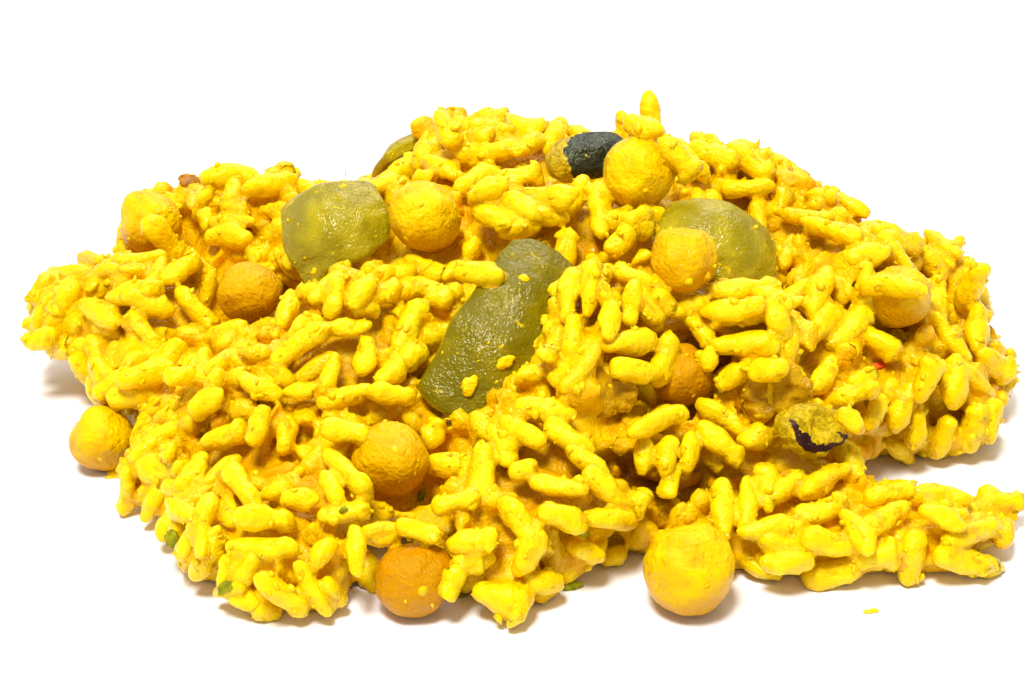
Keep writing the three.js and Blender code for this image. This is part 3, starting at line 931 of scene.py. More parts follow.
@dataclass
class VegetablePieces:
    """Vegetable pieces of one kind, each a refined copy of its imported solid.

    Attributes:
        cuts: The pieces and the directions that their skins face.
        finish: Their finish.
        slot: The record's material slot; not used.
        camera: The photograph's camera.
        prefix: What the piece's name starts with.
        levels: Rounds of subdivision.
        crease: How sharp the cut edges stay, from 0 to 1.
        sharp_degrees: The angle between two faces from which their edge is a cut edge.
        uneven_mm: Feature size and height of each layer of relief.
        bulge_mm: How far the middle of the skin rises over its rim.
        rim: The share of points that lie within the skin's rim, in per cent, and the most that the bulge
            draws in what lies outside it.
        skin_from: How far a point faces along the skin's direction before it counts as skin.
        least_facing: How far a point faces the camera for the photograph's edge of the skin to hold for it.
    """

    cuts: Sequence[Cut]
    finish: Finish
    slot: str
    camera: PhotoCamera = field(default_factory=PhotoCamera)
    prefix: str = "cooked_"
    levels: int = 3
    crease: float = 0.45
    sharp_degrees: float = 38.0
    uneven_mm: Relief = ((5.0, 0.5), (1.8, 0.2))
    bulge_mm: float = 0.0
    rim: Pair = (96.0, -0.3)
    skin_from: Pair = (0.15, 0.45)
    least_facing: float = -0.1

    def sharpen(self, mesh: Mesh) -> None:
        """Creases the edges where two faces meet at a steep angle."""
        crease = mesh.attributes.new("crease_edge", "FLOAT", "EDGE")
        normals = np.array([tuple(p.normal) for p in mesh.polygons])
        sides: dict[tuple[int, int], list[int]] = {}
        for polygon in mesh.polygons:
            for key in polygon.edge_keys:
                sides.setdefault(key, []).append(polygon.index)
        limit = math.cos(math.radians(self.sharp_degrees))
        for edge in mesh.edges:
            pair = sides.get(tuple(sorted(edge.vertices)), [])
            if len(pair) == 2 and normals[pair[0]] @ normals[pair[1]] < limit:
                crease.data[edge.index].value = self.crease

    def shape(self, node: Object, cut: Cut, seed: int) -> Object:
        """Refines one copy.

        Args:
            node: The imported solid.
            cut: The direction that its skin faces.
            seed: Chooses its unevenness.

        Returns:
            The refined piece, with how much each point is skin.
        """
        piece = copy_of_node(node, self.prefix + node.name)
        self.sharpen(piece.data)
        apply_modifier(piece, "SUBSURF", levels=self.levels, render_levels=self.levels)
        points = points_of(piece.data)
        outward = normals_of(piece.data)
        towards = np.array(cut.skin) / np.linalg.norm(cut.skin)
        flat = points - points.mean(0)
        flat -= np.multiply.outer(flat @ towards, towards)
        reach = np.linalg.norm(flat, axis=1)
        share, least = self.rim
        raised = np.clip(1 - (reach / np.percentile(reach, share)) ** 2, least, 1)
        raised *= np.clip(outward @ towards, 0, 1)
        points += np.multiply.outer(raised * self.bulge_mm * MM, towards)
        for number, (pitch, rise) in enumerate(self.uneven_mm):
            points += outward * (waves(points, pitch, seed + 5 * number) * rise * MM)[:, None]
        set_points(piece.data, points)
        make_active(piece)
        bpy.ops.object.shade_smooth()
        facing = normals_of(piece.data) @ towards
        low, high = self.skin_from
        share = np.clip((facing - low) / (high - low), 0, 1)
        if cut.edge:
            seen = normals_of(piece.data) @ np.array(self.camera.back()) > self.least_facing
            share = np.where(seen, self.camera.inside(points, cut.edge), share)
        store(piece.data, Stored.SKIN, share)
        return piece

    def build(self, nodes: dict[str, Object]) -> list[Object]:
        """Refines every piece and puts it in place of its solid."""
        material = self.finish.build()
        pieces = []
        for seed, cut in enumerate(self.cuts):
            pieces.append(dress(self.shape(nodes[cut.node], cut, seed), material))
            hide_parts(cut.node)
        return pieces


DEEP_CUTS = (Cut("green_pepper_middle", (0.12, -0.7, 0.69)),)
PEPPER_CUTS = (
    Cut("green_pepper_left", (-0.2, -0.6, 0.78)),
    Cut("green_pepper_right", (0.22, -0.56, 0.8)),
    Cut("green_pepper_back", (-0.25, 0.66, 0.7)),
)
PALE_PEPPER = PepperSkin("pale_green_pepper", skin="8c7c00", skin_pale="a89612", wet=0.45)
TOP_SKIN = (
    Pixel(563, 152), Pixel(576, 128), Pixel(600, 124), Pixel(645, 132), Pixel(652, 150), Pixel(640, 172),
    Pixel(602, 176), Pixel(584, 186), Pixel(575, 182), Pixel(570, 165),
)  # fmt: skip
FRONT_SKIN = (
    Pixel(790, 419), Pixel(797, 422), Pixel(802, 434), Pixel(806, 433), Pixel(813, 441), Pixel(817, 446),
    Pixel(828, 444), Pixel(839, 443), Pixel(843, 440), Pixel(837, 432), Pixel(848, 435), Pixel(858, 447),
    Pixel(853, 457), Pixel(842, 455), Pixel(826, 451), Pixel(814, 453), Pixel(806, 451), Pixel(800, 446),
    Pixel(795, 436),
)  # fmt: skip
AUBERGINE_CUTS = (
    Cut("aubergine_top", (-0.1, -0.15, 1.0), TOP_SKIN),
    Cut("aubergine_back", (0.3, 0.5, 0.8)),
)
PURPLE_CUTS = (Cut("aubergine_front", (0.1, -0.7, -0.72), FRONT_SKIN),)
PURPLE_SKIN = AubergineFlesh("purple_aubergine", skin="24080a", bloom="582c30", specular=0.15, wet=0.08)
ONION_CUTS = (Cut("onion_front", (-0.3, -0.85, 0.3)), Cut("onion_middle", (0.1, -0.8, 0.5)))


# ---- The sticky mass ----


@dataclass(frozen=True)
class Hollow:
    """A dark hole between lumps, where the photograph shows it, with its radius and depth in millimetres."""

    pixel: Pixel
    radius: float
    depth: float


HOLLOWS = tuple(
    Hollow(Pixel(x, y), radius, depth)
    for x, y, radius, depth in (
        (434, 382, 2.6, 4.0), (540, 398, 3.2, 4.5), (610, 470, 3.0, 5.0), (655, 470, 3.4, 6.0),
        (700, 470, 3.2, 5.0), (655, 512, 3.0, 5.0), (270, 300, 3.4, 5.0), (845, 415, 2.6, 4.0),
        (704, 380, 2.8, 4.5), (795, 372, 2.2, 3.5), (412, 505, 2.6, 4.5), (190, 440, 2.6, 4.0),
        (745, 470, 2.6, 4.0), (895, 330, 2.4, 4.0), (675, 305, 2.4, 4.0),
    )
)  # fmt: skip


def beside_ray(points: np.ndarray, camera: PhotoCamera, pixel: Pixel) -> np.ndarray:
    """How far points in millimetres lie from the line of sight through a pixel."""
    ray = np.array(camera.ray(pixel))
    offset = points - np.array(camera.place()) / MM
    return np.linalg.norm(offset - np.multiply.outer(offset @ ray, ray), axis=-1)


@dataclass
class StickyMass:
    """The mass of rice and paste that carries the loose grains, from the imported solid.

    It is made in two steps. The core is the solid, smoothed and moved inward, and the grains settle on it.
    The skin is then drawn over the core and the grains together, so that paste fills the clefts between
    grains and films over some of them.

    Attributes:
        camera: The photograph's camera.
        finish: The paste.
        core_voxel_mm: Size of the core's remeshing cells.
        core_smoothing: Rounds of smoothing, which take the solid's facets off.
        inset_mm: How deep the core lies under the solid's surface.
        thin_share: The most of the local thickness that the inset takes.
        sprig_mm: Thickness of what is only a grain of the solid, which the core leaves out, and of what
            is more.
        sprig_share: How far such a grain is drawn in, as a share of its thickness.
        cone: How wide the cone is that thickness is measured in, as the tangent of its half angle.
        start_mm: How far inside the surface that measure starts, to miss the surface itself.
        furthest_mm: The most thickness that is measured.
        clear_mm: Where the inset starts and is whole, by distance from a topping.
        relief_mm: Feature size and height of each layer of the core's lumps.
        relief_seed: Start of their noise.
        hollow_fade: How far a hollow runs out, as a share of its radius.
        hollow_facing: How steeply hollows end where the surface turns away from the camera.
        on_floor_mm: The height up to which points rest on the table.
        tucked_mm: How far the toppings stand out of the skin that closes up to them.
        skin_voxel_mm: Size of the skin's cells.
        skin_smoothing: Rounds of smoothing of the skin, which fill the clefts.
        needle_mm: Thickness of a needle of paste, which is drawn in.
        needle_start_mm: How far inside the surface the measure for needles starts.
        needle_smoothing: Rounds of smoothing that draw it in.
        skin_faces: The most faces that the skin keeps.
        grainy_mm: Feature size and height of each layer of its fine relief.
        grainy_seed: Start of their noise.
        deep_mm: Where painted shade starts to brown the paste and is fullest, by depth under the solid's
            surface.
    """

    camera: PhotoCamera
    finish: RicePaste = field(default_factory=RicePaste)
    core_voxel_mm: float = 1.1
    core_smoothing: int = 14
    inset_mm: float = 4.4
    thin_share: float = 0.3
    sprig_mm: Pair = (3.6, 6.0)
    sprig_share: float = 0.47
    cone: float = 0.7
    start_mm: float = 0.05
    furthest_mm: float = 100.0
    clear_mm: Pair = (-2.0, 1.2)
    relief_mm: Relief = ((7.0, 1.0), (3.0, 0.5))
    relief_seed: int = 40
    hollow_fade: float = 1.6
    hollow_facing: float = 3.0
    on_floor_mm: float = 0.6
    tucked_mm: float = 0.3
    skin_voxel_mm: float = 0.55
    skin_smoothing: int = 4
    needle_mm: float = 0.6
    needle_start_mm: float = 0.02
    needle_smoothing: int = 40
    skin_faces: int = 195000
    grainy_mm: Relief = ((1.5, 0.36), (0.8, 0.2))
    grainy_seed: int = 60
    deep_mm: Pair = (3.0, 7.5)

    def thickness(self, points: np.ndarray, normals: np.ndarray, tree: BVHTree) -> np.ndarray:
        """The shortest way through the mass from each point, within a cone round its inward direction."""
        furthest = self.furthest_mm * MM
        found = []
        for point, normal in zip(points, normals):
            start = Vector(point - normal * self.start_mm * MM)
            inward = Vector(-normal)
            aside = inward.orthogonal().normalized() * self.cone
            across = inward.cross(aside)
            rays = (inward, inward + aside, inward - aside, inward + across, inward - across)
            hits = [tree.ray_cast(start, ray.normalized(), furthest) for ray in rays]
            found.append(min(hit[3] if hit[0] is not None else furthest for hit in hits))
        return np.array(found)

    def core(self, node: Object, toppings: BVHTree) -> Object:
        """Models the core.

        Args:
            node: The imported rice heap.
            toppings: The surfaces of all pieces that lie in the rice.

        Returns:
            The core, which the skin later takes in.
        """
        mass = copy_of_node(node, "core")
        apply_modifier(mass, "REMESH", mode="VOXEL", voxel_size=self.core_voxel_mm * MM)
        apply_modifier(mass, "SMOOTH", factor=0.5, iterations=self.core_smoothing)
        points = points_of(mass.data)
        normals = normals_of(mass.data)
        room = self.thickness(points, normals, surface_of([mass]))
        apart = np.array([toppings.find_nearest(Vector(p))[3] for p in points]) / MM
        low, high = self.clear_mm
        free = np.clip((apart - low) / (high - low), 0, 1)
        resting = points[:, 2] < self.on_floor_mm * MM
        low, high = self.sprig_mm
        thick = np.clip((room / MM - low) / (high - low), 0, 1)
        moved = -np.minimum(self.inset_mm * MM, room * self.thin_share) * free
        for number, (pitch, rise) in enumerate(self.relief_mm):
            moved += waves(points, pitch, self.relief_seed + number) * rise * MM * free
        moved = moved * thick - room * self.sprig_share * (1 - thick)
        for hollow in HOLLOWS:
            reach = hollow.radius * self.hollow_fade
            near = 1 - beside_ray(points / MM, self.camera, hollow.pixel) / reach
            facing = np.clip(normals @ np.array(self.camera.back()) * self.hollow_facing, 0, 1)
            moved -= np.clip(near, 0, 1) * facing * hollow.depth * MM
        shift = normals * moved[:, None]
        shift[resting, 2] = 0.0
        points += shift
        points[:, 2] = np.maximum(points[:, 2], 0.0)
        set_points(mass.data, points)
        return mass

    def tucked(self, piece: Object) -> Object:
        """A copy of a topping that lies just under its surface, for the skin to close up to."""
        copy = linked(f"tucked_{piece.name}", piece.data.copy())
        set_points(copy.data, points_of(copy.data) - normals_of(copy.data) * self.tucked_mm * MM)
        return copy

    def keep_largest(self, mass: Object) -> None:
        """Removes what isn't joined to the underside: bits that hang free and closed holes inside."""
        points = points_of(mass.data)
        make_active(mass)
        bpy.ops.object.mode_set(mode="EDIT")
        bpy.ops.mesh.select_all(action="DESELECT")
        bpy.ops.object.mode_set(mode="OBJECT")
        mass.data.vertices[int(np.linalg.norm(points, axis=1).argmin())].select = True
        bpy.ops.object.mode_set(mode="EDIT")
        bpy.ops.mesh.select_linked()
        bpy.ops.mesh.select_all(action="INVERT")
        bpy.ops.mesh.delete(type="VERT")
        bpy.ops.object.mode_set(mode="OBJECT")

    def draw_in_needles(self, mass: Object) -> None:
        """Draws needles of paste back into the mass, above its lowest millimetre."""
        tree = surface_of([mass])
        thin = []
        for number, (point, out) in enumerate(zip(points_of(mass.data), normals_of(mass.data))):
            start = Vector(point - out * self.needle_start_mm * MM)
            if point[2] > MM and tree.ray_cast(start, Vector(-out), self.needle_mm * MM)[0] is not None:
                thin.append(number)
        group = mass.vertex_groups.new(name="needles")
        group.add(thin, 1.0, "REPLACE")
        apply_modifier(mass, "SMOOTH", factor=1.0, iterations=self.needle_smoothing, vertex_group=group.name)
        mass.vertex_groups.clear()
        log.info("points of needles drawn in: %d", len(thin))

    def skin(
        self, parts: Sequence[Object], toppings: Sequence[Object], outline: Outline
    ) -> Object:
        """Draws the skin over the core and the grains, and takes them in.

        Args:
            parts: The core and the grains that the paste runs between.
            toppings: The pieces that the paste closes up to.
            outline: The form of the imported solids.

        Returns:
            The mass, in place of the solid.
        """
        joined = [*parts, *(self.tucked(piece) for piece in toppings)]
        deselect_all()
        for piece in joined:
            piece.data.materials.clear()
            piece.select_set(True)
        mass = joined[0]
        bpy.context.view_layer.objects.active = mass
        bpy.ops.object.join()
        mass.name = "sticky_mass"
        apply_modifier(mass, "REMESH", mode="VOXEL", voxel_size=self.skin_voxel_mm * MM)
        self.keep_largest(mass)
        apply_modifier(mass, "SMOOTH", factor=0.5, iterations=self.skin_smoothing)
        log.info("skin before thinning: %d faces", len(mass.data.polygons))
        share = self.skin_faces / (2 * len(mass.data.polygons))
        if share < 1:
            apply_modifier(mass, "DECIMATE", ratio=share)
        self.draw_in_needles(mass)
        points = points_of(mass.data)
        roughen(points, normals_of(mass.data), self.grainy_mm, self.grainy_seed)
        points[:, 2] = np.maximum(points[:, 2], 0.0)
        set_points(mass.data, points)
        # painted shade: how deep the paste lies under the solid's surface, stored for the browning
        low, high = self.deep_mm
        depth = np.array([-outline.over(point) for point in points / MM])
        store(mass.data, Stored.DEPTH, np.clip((depth - low) / (high - low), 0, 1))
        make_active(mass)
        bpy.ops.object.shade_smooth()
        dress(mass, self.finish.build())
        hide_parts(RICE_NODE)
        return mass


# ---- Grains ----


class GrainKind(Enum):
    """How a cooked grain looks."""

    WHOLE = "whole"
    PLUMP = "plump"
    BROKEN = "broken"
    BURST = "burst"


@dataclass(frozen=True)
class GrainModel:
    """One model of a grain along X, one unit long and one unit across, before it is sized.

    Attributes:
        kind: What the grain looks like.
        fullness: Power of the outline from end to end: 2 for an egg's, more for a rod's.
        sides: Points round it.
        rings: Rings from end to end.
    """

    kind: GrainKind
    fullness: float = 3.2
    sides: int = 8
    rings: int = 8

    def select_end(self, mesh: Mesh, reach: float) -> None:
        """Selects the points within reach of the far end."""
        for vertex in mesh.vertices:
            vertex.select = vertex.co.x > 0.5 - reach
        for edge in mesh.edges:
            edge.select = all(mesh.vertices[v].select for v in edge.vertices)
        for polygon in mesh.polygons:
            polygon.select = all(mesh.vertices[v].select for v in polygon.vertices)

    def build(self) -> Object:
        """Models the grain."""
        deselect_all()
        bpy.ops.mesh.primitive_uv_sphere_add(
            segments=self.sides, ring_count=self.rings, radius=0.5, rotation=(0.0, math.pi / 2, 0.0)
        )
        grain = bpy.context.active_object
        grain.name = f"{self.kind.value}_grain_model"
        bpy.ops.object.transform_apply(location=False, rotation=True, scale=True)
        points = points_of(grain.data)
        along = np.clip(np.abs(points[:, 0]) * 2, 0, 1)
        sphere = np.sqrt(np.maximum(1 - along**2, 1e-6))
        full = np.maximum(1 - along**self.fullness, 0.0) ** (1 / self.fullness)
        points[:, 1:] *= np.where(along > 0.999, 0.0, full / sphere)[:, None]
        set_points(grain.data, points)
        self.select_end(grain.data, 0.2)
        bpy.ops.object.mode_set(mode="EDIT")
        if self.kind is GrainKind.BROKEN:
            bpy.ops.transform.translate(value=(-0.17, 0.0, 0.0))
            bpy.ops.transform.rotate(value=0.6, orient_axis="Y", center_override=(0.3, 0, 0))
        elif self.kind is GrainKind.BURST:
            bpy.ops.transform.resize(value=(1.0, 1.5, 1.15), center_override=(0.4, 0, 0))
            bpy.ops.transform.vertex_random(offset=0.06, seed=3)
        else:
            bpy.ops.transform.translate(value=(-0.02, 0.0, -0.1))
        deselect_all()
        return grain


@dataclass
class SphereGrid:
    """Spheres in a grid of cells, to find what a settling grain would touch. Millimetres."""

    cell: float = 6.0
    centres: list[np.ndarray] = field(default_factory=list)
    radii: list[float] = field(default_factory=list)
    cells: dict[tuple[int, int, int], list[int]] = field(default_factory=dict)

    def add(self, centres: np.ndarray, radii: np.ndarray) -> None:
        """Adds spheres."""
        for centre, radius in zip(centres, radii):
            key = tuple(np.floor(centre / self.cell).astype(int))
            self.cells.setdefault(key, []).append(len(self.radii))
            self.centres.append(centre)
            self.radii.append(float(radius))

    def near(self, low: np.ndarray, high: np.ndarray) -> tuple[np.ndarray, np.ndarray]:
        """The spheres whose cells touch a box.

        Args:
            low: The box's lowest corner.
            high: Its highest corner.

        Returns:
            Their centres and their radii.
        """
        first = np.floor(low / self.cell).astype(int)
        last = np.floor(high / self.cell).astype(int)
        found: list[int] = []
        for i in range(first[0], last[0] + 1):
            for j in range(first[1], last[1] + 1):
                for k in range(first[2], last[2] + 1):
                    found.extend(self.cells.get((i, j, k), ()))
        if not found:
            return np.empty((0, 3)), np.empty(0)
        return np.array([self.centres[n] for n in found]), np.array([self.radii[n] for n in found])


@dataclass(frozen=True)
class Layer:
    """One round of settling grains.

    Attributes:
        tries: How many places are tried.
        highest_mm: How far above the core a grain's middle may come to rest.
        slope: Limits of the grain's slope against the surface, in degrees.
        over_mm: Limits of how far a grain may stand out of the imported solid.
        contact: How near the middles of two touching grains come, as a share of their radii together:
            below 1, because soft grains press into each other.
        steep_share: The share of places where the grains stand steeply.
    """

    tries: int
    highest_mm: float
    slope: Pair
    over_mm: Pair
    contact: float
    steep_share: float = 0.0


@dataclass
class Grain:
    """One placed grain. Millimetres, in the frame of the part."""

    centre: np.ndarray
    along: np.ndarray
    out: np.ndarray
    length: float
    width: float
    kind: GrainKind
    tone: float = 0.0
    # how much painted shade it takes for lying deep in the clefts
    sunk: float = 0.0
    seen: bool = False
    draws: np.ndarray = field(default_factory=lambda: np.zeros(7))


@dataclass
class Outline:
    """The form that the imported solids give, which the grains keep to.

    Attributes:
        camera: The photograph's camera.
        rice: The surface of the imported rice.
        toppings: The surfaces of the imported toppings.
        shelter_mm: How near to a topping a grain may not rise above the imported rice.
        hollow_share: The share of a hollow's radius that stays free of grains.
        behind_mm: How far behind what the camera sees a point still counts as seen.
    """

    camera: PhotoCamera
    rice: BVHTree
    toppings: BVHTree
    shelter_mm: float = 1.5
    hollow_share: float = 0.7
    behind_mm: float = 6.0

    def first_hit(self, pixel: Pixel) -> tuple[Vector, Vector, bool] | None:
        """What the camera sees of the solids at a pixel: place, direction and whether it is a topping."""
        eye, ray = self.camera.place(), self.camera.ray(pixel)
        rice = self.rice.ray_cast(eye, ray)
        topping = self.toppings.ray_cast(eye, ray)
        if rice[0] is None and topping[0] is None:
            return None
        on_topping = topping[0] is not None and (rice[0] is None or topping[3] < rice[3])
        hit = topping if on_topping else rice
        return hit[0], hit[1], on_topping

    def over(self, point: np.ndarray) -> float:
        """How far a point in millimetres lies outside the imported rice."""
        return outside(point, self.rice)

    def hides_topping(self, point: np.ndarray) -> bool:
        """Whether a point stands in the camera's view of a topping."""
        eye = self.camera.place()
        spot = Vector(point) * MM
        ray = (spot - eye).normalized()
        topping = self.toppings.ray_cast(eye, ray)
        if topping[0] is None or topping[3] < (spot - eye).length:
            return False
        rice = self.rice.ray_cast(eye, ray)
        return rice[0] is None or rice[3] > topping[3]

    def allows(self, spine: np.ndarray, radii: np.ndarray, most: float) -> bool:
        """Whether a grain keeps to the form.

        Args:
            spine: The middles of its spheres.
            radii: Their radii.
            most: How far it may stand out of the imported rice.

        Returns:
            False if it stands out further, or covers a topping.
        """
        for point, radius in zip(spine, radii):
            over = self.over(point)
            if over + radius > most:
                return False
            if over > 0 and self.toppings.find_nearest(Vector(point) * MM)[3] < self.shelter_mm * MM:
                return False
        for hollow in HOLLOWS:
            beside = beside_ray(spine, self.camera, hollow.pixel).min()
            if beside < hollow.radius * self.hollow_share and self.faces(spine[2]):
                return False
        return not any(self.hides_topping(point) for point in spine)

    def faces(self, point: np.ndarray) -> bool:
        """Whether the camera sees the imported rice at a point."""
        spot = Vector(point) * MM
        eye = self.camera.place()
        hit = self.rice.ray_cast(eye, (spot - eye).normalized())
        return hit[0] is None or hit[3] > (spot - eye).length - self.behind_mm * MM


class Seen(NamedTuple):
    """A grain that the photograph shows: its middle, length, rise to the right in degrees, and width.

    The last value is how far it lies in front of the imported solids, in millimetres. The tables below hold
    the values of one grain in each row, as read off the photograph, in the order of the fields.
    """

    x: float
    y: float
    long: float
    turn: float
    wide: float = 24.0
    before: float = 0.0


FRONT_LEFT_LUMP = (
    (265, 518, 60, -10, 27), (262, 547, 76, 0, 26), (313, 589, 68, -60, 20), (344, 512, 52, 8, 26),
    (359, 550, 48, 88, 24), (384, 536, 46, 4, 26, 9), (420, 532, 46, -18, 26, 8), (288, 433, 40, 84, 22),
    (242, 484, 60, -48, 24), (345, 467, 72, -42, 24), (300, 497, 42, -4, 24), (331, 487, 40, -55, 22),
    (285, 460, 64, 0, 20), (258, 425, 44, 70, 24), (203, 522, 66, 86, 22), (284, 597, 58, -38, 28),
    (266, 621, 30, -30, 24), (368, 582, 44, -72, 26), (322, 553, 36, 60, 24), (346, 430, 52, -12, 26),
    (228, 590, 40, 20, 24), (205, 400, 44, 40, 26), (225, 575, 40, 80, 20), (335, 595, 34, -60, 22),
    (222, 435, 50, 20, 26), (190, 470, 48, 60, 26), (150, 503, 40, 60, 22), (166, 517, 46, 70, 22),
    (186, 542, 44, 60, 22), (202, 563, 44, 50, 24), (213, 545, 40, 70, 22), (180, 510, 42, -20, 24),
    (196, 530, 40, 84, 22), (240, 600, 40, -30, 24), (246, 570, 44, 60, 24),
)  # fmt: skip
FRONT_LUMP = (
    (545, 408, 66, -6, 28), (607, 428, 44, -60, 26), (570, 435, 60, -35, 28), (484, 427, 42, -42, 24),
    (480, 470, 60, 84, 32), (523, 468, 32, 20, 24), (560, 484, 62, -10, 24), (613, 520, 54, -6, 26),
    (612, 490, 66, -46, 26), (613, 565, 28, 10, 26), (502, 596, 60, -22, 36), (548, 586, 42, -10, 28),
    (565, 520, 56, -20, 30), (520, 520, 60, -55, 30), (445, 460, 50, 4, 26), (433, 432, 32, 76, 24),
    (455, 500, 50, 12, 26), (590, 460, 56, -40, 26), (500, 440, 50, -60, 26), (470, 540, 54, 10, 28),
    (530, 555, 56, 60, 28), (520, 430, 50, -30, 26), (475, 565, 44, 0, 28), (590, 555, 36, -30, 24),
    (630, 375, 56, -14, 26), (445, 580, 40, 70, 26),
)  # fmt: skip
FRONT_PEA = (
    (650, 543, 40, -42, 22, 7), (678, 512, 50, -76, 22, 7), (712, 528, 30, 40, 22, 3),
    (664, 530, 34, 30, 22, 5),
)  # fmt: skip
FAN = (
    (659, 418, 68, 26, 26), (645, 455, 40, 80, 22), (668, 455, 44, 86, 24), (690, 450, 46, 80, 24),
    (722, 441, 58, -40, 26), (722, 414, 58, -32, 24), (757, 432, 38, 20, 30), (640, 500, 36, 60, 24),
    (672, 478, 38, 70, 22),
)  # fmt: skip
RIGHT_TAIL = (
    (770, 524, 66, 12, 28), (822, 506, 56, 14, 26), (724, 506, 62, 84, 28), (748, 502, 56, 84, 24),
    (768, 486, 46, 88, 24), (787, 568, 58, 0, 32), (836, 582, 64, 14, 34), (877, 560, 50, 8, 30),
    (883, 515, 76, 25, 28), (975, 533, 68, 8, 26), (966, 562, 62, -16, 30), (914, 560, 58, 84, 34),
    (940, 492, 66, -4, 26), (1000, 500, 48, -8, 26), (852, 455, 46, -56, 24), (826, 475, 60, 30, 28),
    (785, 485, 50, 30, 26), (830, 545, 60, -14, 30), (780, 545, 46, -10, 26), (890, 490, 56, 10, 26),
    (945, 515, 50, -20, 24), (860, 530, 50, -60, 26), (985, 575, 44, 10, 24),
)  # fmt: skip
RIGHT_KNOB = (
    (732, 309, 66, 6, 24), (745, 346, 70, -1, 28), (744, 284, 74, 2, 26), (698, 330, 46, -52, 22),
    (781, 320, 50, -70, 28), (787, 352, 44, 60, 26), (736, 376, 38, 42, 26), (772, 372, 40, 0, 30),
    (703, 360, 26, 80, 20), (775, 295, 44, -20, 26),
)  # fmt: skip
MIDDLE = (
    (633, 345, 54, 2, 28), (667, 365, 54, 72, 26), (640, 277, 52, -24, 26), (590, 287, 60, 86, 22),
    (612, 312, 52, 84, 24), (652, 311, 52, -60, 24), (633, 302, 48, 80, 22), (566, 249, 46, 78, 24),
    (566, 290, 56, 84, 26), (570, 335, 50, 80, 24), (602, 205, 58, 86, 26), (578, 190, 46, 60, 24),
    (625, 238, 48, 50, 26), (645, 228, 40, -20, 24), (550, 195, 50, 10, 26), (525, 205, 46, -30, 26),
    (620, 215, 40, 20, 24), (656, 213, 36, -24, 22), (640, 216, 34, 20, 22), (668, 302, 38, -40, 22),
    (694, 304, 36, 14, 22), (680, 312, 34, -10, 22),
)  # fmt: skip
MIDDLE_LEFT = (
    (298, 345, 72, 36, 26), (345, 326, 58, 2, 20), (333, 297, 44, 78, 24), (366, 305, 32, 0, 26),
    (362, 287, 40, 60, 24), (386, 288, 34, 20, 26), (408, 322, 60, 66, 26), (428, 286, 56, -24, 26),
    (412, 354, 36, 40, 28), (394, 371, 36, 30, 26), (485, 277, 52, -6, 28), (331, 371, 42, 74, 20),
    (303, 390, 44, 6, 22), (260, 386, 52, -26, 24), (346, 396, 60, 12, 24), (392, 395, 50, -8, 24),
    (286, 306, 40, 76, 22), (365, 352, 40, 86, 24), (490, 216, 46, -26, 26), (488, 188, 46, 20, 26),
    (468, 250, 30, 80, 22), (302, 325, 40, 40, 24), (410, 285, 40, 10, 26), (402, 268, 40, 14, 22),
    (437, 270, 40, -12, 22), (380, 275, 36, 40, 22), (455, 268, 34, 30, 22), (420, 262, 32, -30, 20),
)  # fmt: skip
FAR_LEFT = (
    (145, 370, 60, 16, 28), (170, 354, 42, 60, 28), (98, 378, 52, -62, 28), (205, 368, 44, 80, 22),
    (150, 438, 60, 40, 24), (160, 470, 60, 0, 32), (178, 492, 48, -24, 28), (125, 492, 48, 78, 20),
    (198, 310, 60, -50, 24), (130, 395, 50, 6, 26), (190, 375, 40, 0, 24), (160, 235, 50, -55, 26),
    (225, 235, 50, 0, 26), (182, 265, 44, 36, 24), (130, 290, 60, 14, 26), (60, 300, 56, 60, 26),
    (95, 310, 50, -30, 26), (50, 325, 46, 80, 26), (150, 300, 54, -20, 26), (230, 172, 60, 6, 26),
    (270, 180, 56, 10, 26), (90, 374, 44, -58, 24), (97, 397, 46, -62, 24), (62, 350, 44, 10, 24),
    (38, 340, 36, 12, 24), (112, 382, 46, 40, 24),
)  # fmt: skip
RIGHT_SLOPE = (
    (852, 325, 60, 42, 28), (895, 290, 66, -4, 24), (866, 285, 48, 84, 22), (882, 340, 48, -36, 26),
    (906, 408, 56, 66, 22), (878, 415, 46, 58, 24), (853, 392, 52, 16, 22), (845, 424, 36, -42, 22),
    (935, 262, 48, -52, 26), (900, 233, 58, -16, 26), (972, 290, 54, 72, 26), (980, 325, 52, 84, 26),
    (1000, 362, 46, -30, 26), (827, 372, 46, 50, 24), (820, 290, 60, 70, 26), (825, 320, 50, 50, 26),
    (940, 300, 56, 84, 26), (960, 380, 56, 84, 28), (930, 380, 50, 70, 24), (870, 250, 50, 10, 26),
    (830, 225, 60, -20, 26), (975, 430, 50, 80, 26), (945, 440, 46, 70, 24), (915, 430, 40, 80, 22),
    (865, 375, 38, 30, 22),
)  # fmt: skip
CREST = (
    (628, 132, 48, -62, 20), (652, 116, 52, -76, 21), (688, 154, 68, -46, 24), (645, 138, 40, -20, 26),
    (664, 142, 48, -50, 26), (672, 162, 52, -50, 26), (445, 128, 44, -66, 24), (480, 116, 46, 20, 26),
    (520, 120, 50, -30, 26), (555, 130, 44, 60, 22), (715, 150, 56, -20, 26), (750, 160, 54, -40, 26),
    (460, 150, 46, -40, 24), (500, 148, 44, 10, 24), (475, 175, 50, 30, 24), (440, 165, 46, -20, 24),
    (545, 152, 40, -20, 22), (520, 172, 46, 4, 24), (548, 215, 46, -10, 24), (520, 228, 44, 10, 24),
    (400, 170, 50, 30, 24), (380, 182, 40, 10, 24), (530, 140, 40, 30, 22), (424, 150, 44, 60, 22),
)  # fmt: skip
SEEN_GRAINS = tuple(
    Seen(*row)
    for rows in (
        *(FRONT_LEFT_LUMP, FRONT_LUMP, FRONT_PEA, FAN, RIGHT_TAIL, RIGHT_KNOB, MIDDLE, MIDDLE_LEFT),
        *(FAR_LEFT, RIGHT_SLOPE, CREST),
    )
    for row in rows
)


